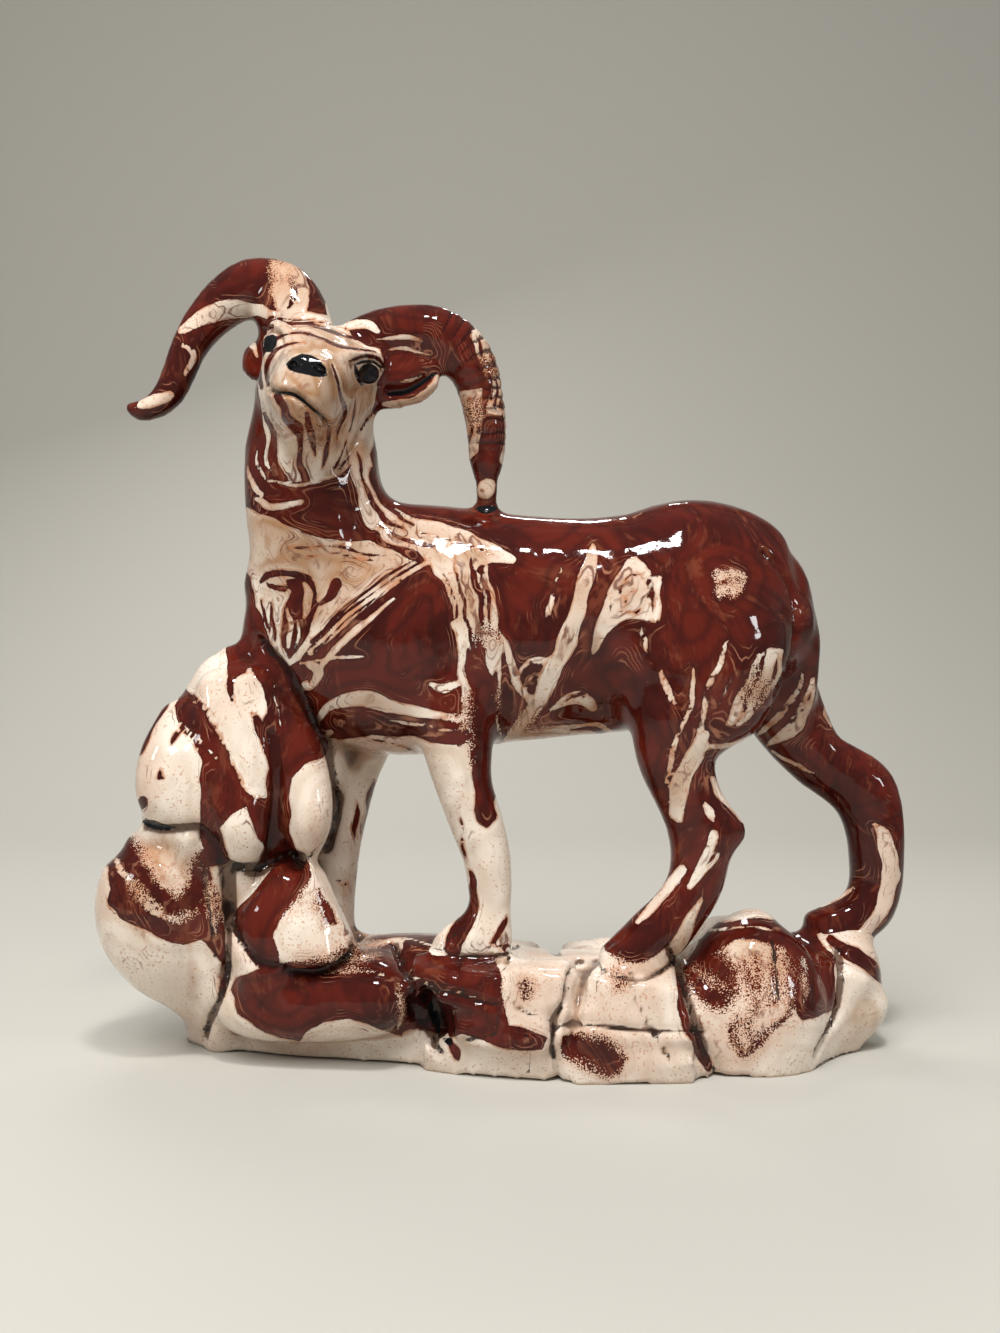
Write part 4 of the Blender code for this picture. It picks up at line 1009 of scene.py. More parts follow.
HORN_SLIP = [
    (BROWN, [(-50, 229), (-58, 244), (-75, 250), (-95, 240), (-119, 200), (-110, 190), (-92, 205),
        (-80, 226), (-66, 231)]),
    (CREAM, [(-99, 224, 1.2), (-93, 228, 2.4), (-85, 230.5, 2.8), (-77, 230.5, 2.2), (-71, 228.5, 1.4)]),
    (CREAM, [(-72, 246), (-64, 247), (-60, 242), (-59, 234), (-61, 229), (-69, 230), (-71.5, 236)]),
    (BROWN, [(-66, 240, 0.3), (-64, 235, 0.9), (-66, 231, 0.5)]),
    (BROWN, [(-60.5, 244, 1.3), (-58, 237, 1.9), (-57, 230, 1.6)]),
    (CREAM, [(-56, 240, 0.2), (-54, 234, 0.7), (-53, 229, 1)]),
    (CREAM, [(-74, 229.5, 0.8), (-66, 228.5, 1.6), (-56, 228, 1.2), (-49, 226, 1.4)]),
    (BROWN, [(-72, 228.3, 0.3), (-64, 227.3, 0.4), (-58, 227.5, 0.3)]),
    (CREAM, [(-99, 219.5, 0.5), (-96, 217, 1), (-98, 211, 0.7)]),
    (CREAM, [(-104, 203.5, 1.6), (-108, 202, 2), (-112, 201, 1.2)]),
    (BROWN, [(-105, 201, 0.3), (-109, 199.5, 0.6), (-114, 199.2, 0.5)]),
    (BROWN, [(-46, 224), (-40, 231), (-25, 236), (-8, 230), (5, 212), (4, 185), (-1, 174), (-11, 176),
        (-12, 196), (-18, 210), (-36, 214)]),
    (CREAM, [(-47, 225.5, 1.4), (-42, 226, 1.6), (-38, 223.5, 0.8)]),
    (CREAM, [(-38.5, 221.3, 0.3), (-30, 221.8, 0.75), (-24, 220.8, 0.3)]),
    (CREAM, [(-36, 217.8, 0.2), (-29, 218.4, 0.6), (-22, 217, 0.2)]),
    # worn outer and inner curve of the near horn
    (CREAM, [(-7, 226.5), (-3, 221.5), (-0.6, 216), (1, 210), (1.6, 204), (0.4, 197.6), (-4, 198),
        (-3.5, 204), (-4, 209), (-6, 215), (-9.5, 222)]),
    (CREAM, [(-12.4, 205), (-6, 206), (-5.4, 199), (-8.4, 191), (-11.6, 191), (-12, 200)]),
    (CREAM, [(-10.8, 190), (-6, 193), (-6.6, 186), (-9.8, 183)]),
    (CREAM, [(1.4, 199, 0.6), (2, 190, 0.8), (1, 183, 0.6)]),
    (BROWN, [(-4.6, 224, 0.4), (-2, 216, 0.6), (-1, 208, 0.5), (-1.4, 200, 0.3)]),
    (BROWN, [(-8, 223, 0.3), (-5.2, 216.6, 0.6), (-3.4, 209, 0.6), (-2.8, 202, 0.3)]),
    (BROWN, [(0.4, 213, 0.1), (0.9, 206, 0.4), (0.2, 200, 0.2)]),
    (BROWN, [(-9.6, 203, 0.3), (-9, 196, 0.5), (-9.6, 189, 0.3)]),
    (BROWN, [(-11.3, 203, 0.1), (-10.9, 197, 0.35), (-10.8, 192, 0.1)]),
    (BROWN, [(-7, 204.4, 0.1), (-6.8, 199, 0.4), (-7.6, 192, 0.2)]),
    (CREAM, [(-4.1, 174.4, 3)]),
]
EAR_SLIP = [
    (BROWN, [(-37, 216), (-28, 214), (-18, 212), (-18, 205), (-26, 198), (-34, 196), (-37, 203)]),
    (CREAM, [(-36.4, 201, 0.6), (-31, 200.8, 1.5), (-25.6, 202.4, 2), (-21.4, 205.8, 1.6),
        (-19.7, 209.4, 0.9)]),
    (BROWN, [(-34, 202.8, 0.3), (-28, 203.2, 0.5), (-23.4, 206, 0.4)]),
    (CREAM, [(-33, 208.6, 0.1), (-28.6, 208.2, 0.5), (-24.4, 209.6, 0.2)]),
    (BROWN, [(-82, 222), (-77, 226), (-74.5, 219), (-75, 207), (-80, 210)]),
    (CREAM, [(-80.5, 222, 0.8), (-77.5, 220, 1), (-76, 216, 0.4)]),
]
print(len(HEAD_SLIP) + len(HORN_SLIP) + len(EAR_SLIP), "strokes on the head and horns")

# %% [markdown]
# Brown lies under everything, so on the body only the cream is drawn, as broad bands, a leaf on
# the flank and thin trails, and then the brown threads inside them. Each stroke covers the ones
# before it, so the order of the list is the order of the work.

# %% Slip on the chest, body and legs
CHEST_SLIP = [
    (CREAM, [(-80, 169), (-73, 166.5), (-62, 161), (-40, 158), (-31, 153.6), (-25.5, 151.5),
        (-34.6, 145.6), (-45, 138.7), (-52, 133.5), (-57, 128.3), (-62, 121), (-66, 119), (-72, 127),
        (-76, 139), (-80, 152)]),
    (BROWN, [(-62, 160.5, 0.4), (-54, 160.5, 1.6), (-46, 160, 2.4), (-39, 160.5, 1.2)]),
    (BROWN, [(-66, 156, 0.2), (-55, 156.6, 0.35), (-44, 154.8, 0.5), (-36, 153.4, 0.2)]),
    (BROWN, [(-60, 153.6, 0.1), (-50, 153.8, 0.25), (-40, 152.2, 0.2)]),
    # a dark flower with a pale middle
    (BROWN, [(-75.5, 145, 0.4), (-72.9, 147.6, 0.9), (-68.8, 148.4, 1), (-63.6, 147.8, 1),
        (-59.4, 146.6, 0.6)]),
    (BROWN, [(-73.4, 144.8, 0.4), (-67.7, 143.2, 1)]),
    (BROWN, [(-67.7, 146.5), (-59.4, 146.5), (-56.8, 141.9), (-56.8, 137.7), (-58.9, 133.5),
        (-60.4, 129.4), (-63, 124.2), (-65.6, 121), (-67.7, 125.2), (-68.8, 130.4), (-67.2, 137.7),
        (-65.6, 142)]),
    (CREAM, [(-61.4, 144.4, 0.7), (-59.6, 141, 1.3), (-60, 137, 1), (-61.4, 134, 0.3)]),
    (CREAM, [(-66.2, 137.6, 0.2), (-65.6, 131, 0.7), (-65.8, 125.5, 0.3)]),
    (CREAM, [(-63.6, 133, 0.1), (-63, 129, 0.4), (-64, 124.6, 0.1)]),
    (BROWN, [(-71.4, 139.4, 0.2), (-71.2, 133, 0.6), (-70, 127, 0.5)]),
    (BROWN, [(-74.4, 140.6, 0.2), (-73.6, 134.6, 0.45), (-72, 129.6, 0.2)]),
    (BROWN, [(-51.4, 144.6, 1.9), (-53, 141, 1.2), (-56, 138.4, 0.4)]),
    # the slanting band of many threads
    (BROWN, [(-59, 127, 0.7), (-50, 136, 0.7), (-42, 142.4, 0.55), (-33, 148.4, 0.45), (-27, 152, 0.2)]),
    (CREAM, [(-58.5, 123.5, 1.2), (-49, 132.6, 1.3), (-40, 139.6, 1.1), (-31, 146, 0.8),
        (-22.6, 151.4, 0.8)]),
    (BROWN, [(-57.5, 123.8, 0.35), (-48.5, 132.8, 0.4), (-40, 139, 0.35), (-31, 145.6, 0.25)]),
    (CREAM, [(-56, 119, 0.9), (-47, 128.6, 0.9), (-40, 134.4, 0.6), (-33, 140, 0.3)]),
    (CREAM, [(-60.6, 113, 1.3), (-58.6, 112, 0.6)]),
    (CREAM, [(-62, 119.6, 0.3), (-52, 121.6, 0.5), (-42, 122.4, 0.3)]),
    (CREAM, [(-59, 119, 1.4), (-57, 117, 1.6), (-58, 113.6, 1.2)]),
    # the broad strip down the shoulder, cream above and brown below
    (CREAM, [(-27, 156.6), (-21.9, 156), (-8, 156), (-4.4, 152), (-2.4, 143), (-0.6, 133), (-0.4, 121),
        (-2, 116), (-6, 119), (-8.3, 122), (-11.5, 126), (-15, 138), (-18, 146), (-22.6, 151.6)]),
    (CREAM, [(-13.6, 132, 1.5), (-12, 124, 1.3), (-11.6, 116, 1.2), (-10.8, 107, 1.1), (-10.4, 98, 1.2),
        (-10.4, 90, 1.4)]),
    (BROWN, [(-14.6, 153.6, 0.35), (-12.4, 144, 0.5), (-9.6, 131, 0.6), (-8, 121, 0.8)]),
    (BROWN, [(-18.4, 151, 0.2), (-14.8, 142, 0.4), (-12.4, 134, 0.2)]),
    (BROWN, [(-9.4, 153, 0.5), (-7.4, 145, 1.1), (-6.2, 138.7, 0.8), (-5.2, 130.4, 0.4)]),
    (BROWN, [(-6.2, 151, 0.3), (-4.6, 144, 0.7), (-3.6, 136, 0.4), (-3, 129, 0.2)]),
    (BROWN, [(-7, 128, 0.5), (-5.8, 121, 1.9), (-4.8, 111, 3.2), (-5.2, 100, 3.9), (-5.5, 90, 3.3),
        (-5.2, 80, 2.3), (-4.6, 73.5, 3)]),
    (CREAM, [(-0.8, 134, 0.4), (0, 120, 0.5), (-0.2, 108, 0.45), (-0.4, 98, 0.3)]),
    (CREAM, [(-0.6, 131, 0.4), (3.2, 121, 1.1), (6.2, 112, 1.4), (9, 107.5, 0.8)]),
    (CREAM, [(10.5, 118.5, 0.2), (13.5, 121, 0.5), (18, 121.5, 0.3)]),
    (CREAM, [(-58, 100.5, 0.8), (-54, 106, 1.4), (-47, 108.4, 2.4), (-40, 108.6, 2.3), (-31, 106, 2),
        (-20, 104, 1.4), (-10.5, 102.5, 0.9)]),
    (CREAM, [(-58, 99, 1.4), (-55.5, 97.5, 1.2), (-53, 98.5, 0.5)]),
    (CREAM, [(-22, 113.6, 0.5), (-18, 112, 1.3), (-13.5, 113.6, 0.8)]),
    (BROWN, [(-53, 101, 0.8), (-42, 101.3, 2.2), (-30, 100, 1.8), (-11, 97, 2.2)]),
    (CREAM, [(-40, 103.6, 0.3), (-30, 101.4, 0.4), (-20, 99.8, 0.5), (-10.5, 98.4, 0.3)]),
]
BODY_SLIP = [
    (CREAM, [(29.8, 157, 0.9), (27.6, 151, 2.1), (25.6, 142, 2.5), (22, 129, 2.7), (16.8, 118.6, 2.7),
        (11.4, 108, 2.4), (4.6, 98, 2.2), (1.5, 93, 2)]),
    (CREAM, [(19, 150, 0.2), (17, 143, 0.5), (15, 137, 0.8), (14.6, 133, 0.3)]),
    # the leaf on the flank
    (CREAM, [(28.4, 122.5), (29.6, 130), (32.4, 139), (36, 147), (40.4, 153), (43, 153.6), (46, 149.4),
        (50, 147.2), (50.4, 140), (49.8, 132.6), (44, 133.6), (38, 133.4), (34, 130), (31, 124.6)]),
    (BROWN, [(36, 136.8, 0.35), (37.6, 143, 0.45), (41.4, 147.6, 0.4), (45.4, 146.4, 0.35),
        (46.6, 142, 0.4), (44, 136.8, 0.45), (39, 135.6, 0.35), (36, 136.8, 0.3)]),
    (BROWN, [(38.6, 138.6, 0.2), (40.4, 142.6, 0.35), (43, 143.4, 0.2)]),
    (BROWN, [(31.4, 128, 0.2), (33.6, 135.6, 0.35), (35.4, 141.6, 0.2)]),
    (BROWN, [(47.4, 148.6, 0.3), (48.2, 142, 0.45), (47.4, 135.4, 0.4)]),
    (CREAM, [(66.8, 149.6), (70.2, 148.8), (73, 150.4), (76.6, 147.4), (75.6, 143), (73.2, 140.2),
        (71.4, 142.2), (68.8, 140.4), (67, 144.6)]),
    (BROWN, [(76, 145.6, 0.1), (72.4, 146.2, 0.35), (69.4, 145.4, 0.1)]),
    (CREAM, [(0, 94.5), (8, 98.5), (20, 101), (31, 101.5), (38, 98), (38, 92), (30, 92), (10, 92), (0, 88)]),
    (BROWN, [(22, 99.5, 0.3), (30, 99.3, 0.8), (36, 97, 0.4)]),
    (CREAM, [(16, 105.4, 0.4), (21, 108.4, 1.8), (25.6, 109, 2.2), (29, 106, 1.2)]),
    (BROWN, [(18.6, 106.4, 0.2), (22, 109, 0.4), (26, 109, 0.3)]),
    (CREAM, [(5.6, 113, 0.3), (7, 118.6, 0.6), (11, 121, 0.7), (15, 120.6, 0.4)]),
    (CREAM, [(7.4, 110.6, 0.2), (9.4, 115, 0.45), (13, 117, 0.4)]),
    (BROWN, [(22.5, 105.6, 0.2), (25, 105.4, 0.6), (27, 104.6, 0.3)]),
    (CREAM, [(44, 131.5, 0.3), (45.5, 127, 0.8), (46, 123, 0.4)]),
    (CREAM, [(50, 117.5, 0.5), (52.5, 112, 1.2), (54.5, 107.5, 0.7)]),
    # the thigh: thin trails, and a wedge that brown threads run through
    (CREAM, [(59.8, 119.6, 0.2), (60.8, 113, 0.9), (58.4, 104, 0.5), (54.6, 94, 0.9), (52.6, 84, 0.6),
        (51.8, 77, 0.2)]),
    (CREAM, [(71.6, 127.4, 0.2), (68.4, 120, 0.9), (65.2, 111, 1.1), (63.2, 102, 0.9), (62.8, 95, 1.4)]),
    (CREAM, [(80, 122.2), (84, 124.6), (88.8, 124.4), (88, 118), (84.2, 110.6), (79, 104.4), (74, 100.4),
        (70.4, 100.4), (73.6, 108), (77.4, 115.4)]),
    (CREAM, [(94.8, 118.4, 0.2), (92, 110.6, 0.8), (86.6, 103, 1.1), (79.4, 97, 0.9), (71, 94.4, 0.8),
        (64, 94, 1.2)]),
    (CREAM, [(74.4, 121, 0.1), (71.4, 113.6, 0.4), (68.4, 105.6, 0.2)]),
    (BROWN, [(83.8, 125, 0.3), (80.6, 116, 0.8), (75.6, 105, 0.5), (73, 101, 0.3)]),
    (BROWN, [(87.4, 123, 0.2), (84.4, 114.6, 0.6), (78.6, 105, 0.4)]),
    (BROWN, [(80.6, 121, 0.15), (77.2, 112.6, 0.4), (73.6, 104.4, 0.2)]),
    (BROWN, [(67.6, 117, 0.2), (65, 108, 0.4), (63.4, 99, 0.2)]),
    (BROWN, [(91, 108.6, 0.1), (85.4, 101.8, 0.35), (78, 96.4, 0.1)]),
    (CREAM, [(64.5, 97, 1.6), (60.5, 90.5, 2.5), (56.5, 82, 3), (55, 75, 2.6), (56.5, 71, 1.2)]),
    (CREAM, [(66.5, 84, 1), (69.5, 78.6, 1.7), (73.5, 74.6, 1.6), (76, 70.5, 0.8)]),
    (CREAM, [(63.5, 77, 0.3), (65, 73.5, 1.2), (67, 71.2, 0.5)]),
    (CREAM, [(67, 67, 1.2), (66, 61, 2.6), (63, 55.5, 2), (59.5, 50, 1)]),
    (BROWN, [(68.5, 65, 0.2), (67, 60.5, 0.5), (64.6, 57, 0.3)]),
    (CREAM, [(57, 55.5, 1.4), (52.5, 50, 1.8), (47, 43.4, 1.4), (42.6, 39.4, 0.8)]),
    (CREAM, [(30, 34, 1), (32, 28, 2.6), (38, 24.4, 2.6), (46, 24, 2.4), (52, 28, 2.6), (56.6, 34, 2.4),
        (60, 40, 1.6), (62.6, 46, 0.6)]),
    (BROWN, [(33.6, 33, 0.3), (36, 28.6, 0.4), (42, 26, 0.3)]),
    (CREAM, [(97.6, 116.4, 0.4), (96.6, 110, 1.7), (94, 103, 2.2), (89.6, 98, 1.8), (84, 94.4, 0.6)]),
    (BROWN, [(97.4, 112, 0.2), (94.6, 105, 0.5), (89.6, 99, 0.4)]),
    (BROWN, [(95, 108.6, 0.15), (91.6, 102, 0.35), (86.6, 96.6, 0.2)]),
    (CREAM, [(101, 113, 0.1), (101.6, 106, 0.45), (103.6, 99.6, 0.2)]),
    (CREAM, [(116.5, 70, 0.6), (120.5, 64.5, 2.2), (122, 57, 2.6), (121.4, 48.5, 2.8), (118, 41, 2.4),
        (112.5, 34, 1.6)]),
    (CREAM, [(100, 44, 0.3), (106, 47, 0.7), (111, 50, 0.4)]),
    (CREAM, [(85, 93, 0.3), (92, 88.4, 0.7), (99, 84.6, 0.3)]),
]
LEG_SLIP = [
    (CREAM, [(-54, 96), (-40, 97.5), (-28, 97), (-16, 94.5), (-9.5, 93), (-9, 86), (-7.6, 76), (-7.6, 70),
        (-4.5, 68.5), (-1, 72), (-1.6, 82), (0.4, 92), (6, 96), (9, 92), (5, 60), (8, 30), (-24, 26),
        (-26, 60), (-40, 84), (-44, 60), (-46, 30), (-64, 30), (-58, 60), (-53, 84)]),
    (BROWN, [(-9.4, 55, 0.5), (-8, 48, 1.6), (-9.8, 42, 2.4), (-13, 36.5, 2.8), (-14.6, 31, 2.6)]),
    (BROWN, [(2.2, 41, 0.2), (0.4, 37.6, 0.9), (-1.6, 33, 1.1)]),
    (BROWN, [(-12.9, 76, 0.1), (-11.8, 66, 0.35), (-10.6, 58, 0.25)]),
    (BROWN, [(-44.8, 78, 0.1), (-45, 71.5, 1), (-45.2, 65, 0.1)]),
    (BROWN, [(-50.4, 52.2, 0.5), (-48, 51.8, 0.6)]),
    (BROWN, [(-42, 96.6, 0.15), (-34, 95.4, 0.3), (-26, 92, 0.2)]),
    (BROWN, [(-2.4, 33, 0.4), (1, 31.5, 0.8), (5, 32.5, 0.5)]),
]
print(len(CHEST_SLIP) + len(BODY_SLIP) + len(LEG_SLIP), "strokes on the body")

# %% [markdown]
# The rocks are mostly cream, with brown slip run over their tops and down into the cracks. On
# the boulders the brown was let down in broad tongues; on the low rocks it was sprayed, which
# leaves a speckled edge. The sprayed places are listed apart as discs.

# %% Slip on the rocks
ROCK_SLIP = [
    (CREAM, [(-130, -20), (-130, 72), (-112, 92), (-96, 122), (-80, 130), (-70, 124), (-44, 96), (-43, 60),
        (-44, 38), (-24, 33), (8, 36), (30, 36), (56, 34), (62, 48), (92, 48), (124, 34), (124, -20)]),
    # tall boulder
    (BROWN, [(-85.4, 127), (-73.7, 127), (-68.8, 121), (-62.9, 112), (-57, 101.2), (-53.1, 94.4),
        (-55, 90.5), (-60.9, 89), (-64.8, 83.6), (-66, 74.8), (-65.3, 66.9), (-62.9, 58.1), (-76.6, 55.2),
        (-72.7, 65), (-73.7, 72.8), (-72.7, 78.7), (-72.7, 86.5), (-74.1, 94.4), (-79, 105.2),
        (-76.6, 104.2), (-73.7, 101.2), (-72.7, 108.1), (-75.1, 114), (-78, 117.9), (-82.5, 115),
        (-83.4, 107.1), (-84.6, 108.1), (-85.4, 118.9)]),
    (BROWN, [(-102, 107), (-98.7, 113), (-95.2, 110), (-90.3, 104.2), (-86.4, 97.3), (-84, 90.5),
        (-80.5, 84), (-77, 78.5), (-73, 77), (-70, 70), (-73, 62), (-75.5, 66), (-79.5, 75.8),
        (-84.4, 72.8), (-87.4, 68.9), (-86.4, 64), (-84.4, 58), (-92.3, 56.2), (-93.8, 65), (-93.8, 78.7),
        (-93.5, 89.5), (-96.2, 96.4), (-100.1, 100.3)]),
    (CREAM, [(-97, 109, 0.25), (-91, 103.6, 0.55), (-86, 95.5, 0.6), (-83, 88, 0.5), (-79, 81, 0.5),
        (-76, 77, 0.3)]),
    (CREAM, [(-99, 101.5, 0.2), (-93.6, 96, 0.5), (-88.6, 89.6, 0.35)]),
    (BROWN, [(-96.6, 109.8, 0.9)]),
    (BROWN, [(-101, 97.6, 0.9), (-103.4, 94, 0.2)]),
    (BROWN, [(-105.4, 87, 0.4), (-105.8, 84.6, 1)]),
    (BROWN, [(-112, 76.5, 2)]),
    (CREAM, [(-71, 114, 0.2), (-69.5, 106, 0.3), (-68, 96, 0.15)]),
    (CREAM, [(-77.5, 112.5, 1.6), (-78.5, 117.5, 0.8)]),
    # low boulder
    (BROWN, [(-120.8, 64.2), (-122.6, 57.5), (-122.3, 45.4), (-119, 40.5), (-112.3, 36.8), (-103.8, 33.2),
        (-98.9, 31.7), (-92.9, 33.2), (-87.4, 27.1), (-85.6, 24), (-86, 38.1), (-89.6, 52.6),
        (-91.4, 62.4), (-95.2, 60), (-97.1, 51.4), (-101.4, 46.8), (-106.2, 49.6), (-110.5, 57.5),
        (-114.7, 65.4), (-117.8, 66.4)]),
    (CREAM, [(-120.6, 61, 0.3), (-118.2, 55.6, 1.1), (-114, 48.8, 1.2), (-108, 42.8, 1),
        (-101, 39.8, 0.8), (-95.4, 42, 0.3)]),
    (CREAM, [(-113.6, 52.6, 0.2), (-110.4, 47.4, 0.35), (-105, 43.6, 0.2)]),
    (CREAM, [(-92.6, 58, 0.3), (-91.4, 50, 0.9), (-89.6, 42, 1), (-88.4, 34, 0.4)]),
    (BROWN, [(-87.6, 23, 0.8), (-87.2, 18.6, 1.4), (-86.2, 15.4, 0.5)]),
    # spur rock
    (BROWN, [(-78.6, 46.3), (-70, 57), (-60.9, 58.5), (-58.5, 53.7), (-62.9, 47.3), (-68.8, 39.5),
        (-71.2, 35.6), (-68.8, 25.8), (-76.6, 25.7), (-83, 35.6), (-82.5, 42.4)]),
    (BROWN, [(-57, 51), (-54.1, 45.4), (-50.6, 38.5), (-54.1, 38.6), (-56.8, 44)]),
    (BROWN, [(-64.6, 56.5, 0.3), (-66.2, 50.5, 1.2), (-69.5, 44, 0.8)]),
    # long low rock
    (BROWN, [(-84.4, 17.9), (-82.5, 21.8), (-72.7, 25.2), (-60.9, 27.4), (-48.2, 30.4), (-33.5, 32.2),
        (-29.5, 25.8), (-28.6, 16), (-29, 6.1), (-30.5, 3.6), (-37.4, 5.6), (-47.2, 9.2), (-55, 8.2),
        (-60.4, 5.2), (-62.9, 1.8), (-68.8, 2.6), (-76.6, 6.5), (-82.5, 11.4)]),
    (CREAM, [(-61, 26.6, 0.3), (-50, 27.4, 0.5), (-38, 28.8, 0.4)]),
    (CREAM, [(-57, 22.6, 0.15), (-46, 24, 0.35), (-36, 22.8, 0.15)]),
    (CREAM, [(-31.6, 20, 0.3), (-31, 12, 0.7), (-31.4, 6, 0.4)]),
    # split rocks
    (BROWN, [(-30.4, 33), (-20, 33.6), (-1.7, 30), (0.5, 19), (2.4, 7), (14.6, 3.4), (13, -0.6),
        (3.4, -1.1), (-6, 2.6), (-12, 4.4), (-16, 3), (-24.3, 6), (-30.4, 5)]),
    # pale lines along the slab's lit lower edge and its top: painted highlights
    (CREAM, [(-29, 22.8, 0.3), (-22, 19.6, 0.45), (-10, 16.4, 0.3), (0, 13.8, 0.45)]),
    (CREAM, [(-28, 33.6, 0.3), (-16, 31.6, 0.4), (-4, 31.6, 0.3)]),
    (CREAM, [(-18, 1.2, 0.5), (-16.6, 3.4, 0.9), (-15.4, 1, 0.6)]),
    (BROWN, [(-15.8, 2.4, 0.3), (-14.4, -1, 1.6), (-13.6, -4.2, 0.4)]),
    (BROWN, [(7.4, 20, 0.8), (8.2, 17, 1.3)]),
    (BROWN, [(19, 3.5), (25, 4), (33, 2.4), (40.4, -3), (37, -8.6), (33, -9.4), (27, -6), (20, -3)]),
    (BROWN, [(55.4, 25, 0.5), (57.2, 12, 1.5), (61.2, 1.5, 1.7), (65.8, -6.2, 1.3)]),
    (BROWN, [(35.6, 23.4, 0.3), (38, 21, 0.5), (36.8, 19.4, 0.25)]),
    # round boulder and the blocks beyond it
    (BROWN, [(57.6, 24.5), (62, 33.5), (68, 39), (78, 40.4), (88.3, 40), (97.5, 36), (104.5, 28),
        (105, 13.2), (99, 9), (94.5, 8.1), (91.4, 13.2), (91, 22), (88, 30), (81, 33.4), (73, 33.2),
        (67.4, 28), (65.4, 19), (69.9, 12.2), (64.6, 12.4), (59.7, 17.3)]),
    (BROWN, [(58.6, 25), (64, 30.4), (70.4, 29), (74.4, 24.4), (73.6, 17.6), (70.4, 12), (64.6, 12.4),
        (59.7, 17.3)]),
    (BROWN, [(74, 8.4, 0.6), (72.8, 3.4, 1.3), (75.6, -2.4, 0.9), (80.4, 1.6, 1.3), (85, 6, 0.8),
        (90.4, 10.4, 0.6)]),
    (BROWN, [(79.4, 12, 0.2), (78, 6.6, 0.7), (79, 1.4, 0.3)]),
    (BROWN, [(85.4, 31, 0.4), (86.2, 22, 0.6), (84.8, 13.6, 0.4)]),
    (BROWN, [(76, 27, 0.2), (78.4, 19.6, 0.7), (80.4, 11, 0.3)]),
    (BROWN, [(90.6, 30, 0.6), (91.6, 20, 1.2), (90, 12, 0.3)]),
    (CREAM, [(61.6, 24.6, 0.1), (65.6, 21, 0.45), (69.6, 19.6, 0.2)]),
    (CREAM, [(94.4, 28, 0.15), (95.6, 20, 0.4), (94.4, 13, 0.15)]),
    (BROWN, [(78.6, 30, 0.2), (80.4, 24, 0.45), (80.8, 18, 0.2)]),
    # pale rim along the top of the round boulder: a painted highlight
    (CREAM, [(66, 36.6, 0.2), (76, 38, 0.4), (86, 37, 0.2)]),
    (BROWN, [(103.5, 34, 1.2), (108, 30, 2.2), (114, 26.6, 2.2), (119.5, 21.5, 1.4)]),
    # sprayed brown on the ground between the legs
    (BROWN, [(-44, 33.6, 0.5), (-36, 34.4, 0.9), (-28, 34.8, 0.5)]),
]
SPRAYED = [
    (-103, 58, 12), (-114, 48, 6), (-98, 44, 8), (-61, 44, 8), (-60, 34, 9), (8, 18, 8), (30, -3, 13),
    (72, 20, 14), (88, 22, 12), (76, 4, 9), (16, 22, 10), (38, 20, 12), (-104, 68, 8), (71, 145, 7),
    (-4, 128, 5), (-46, 30, 10), (-30, 14, 6), (64, 12, 7), (10, 102, 6), (-113, 62, 6), (-69, 241, 8),
    (-90, 44, 8), (-8, 104, 6), (80, 16, 12), (-5.5, 108, 7), (-5.5, 93, 6), (81, 112, 5), (-3, 213, 5),
    (-8, 198, 5), (66, 22, 11), (84, 24, 12),
]
CLEAR = [(-71, 84, 22), (-95, 65, 10), (-62, 50, 5), (30, 28, 4)]

print(len(ROCK_SLIP), "strokes on the rocks")

# %% [markdown]
# The photograph shows one side only, so the far side is decorated in the same manner with
# strokes of its own: cream chest and forelegs, trailed bands over a brown body, brown hind legs
# and cream rocks with brown run over them.

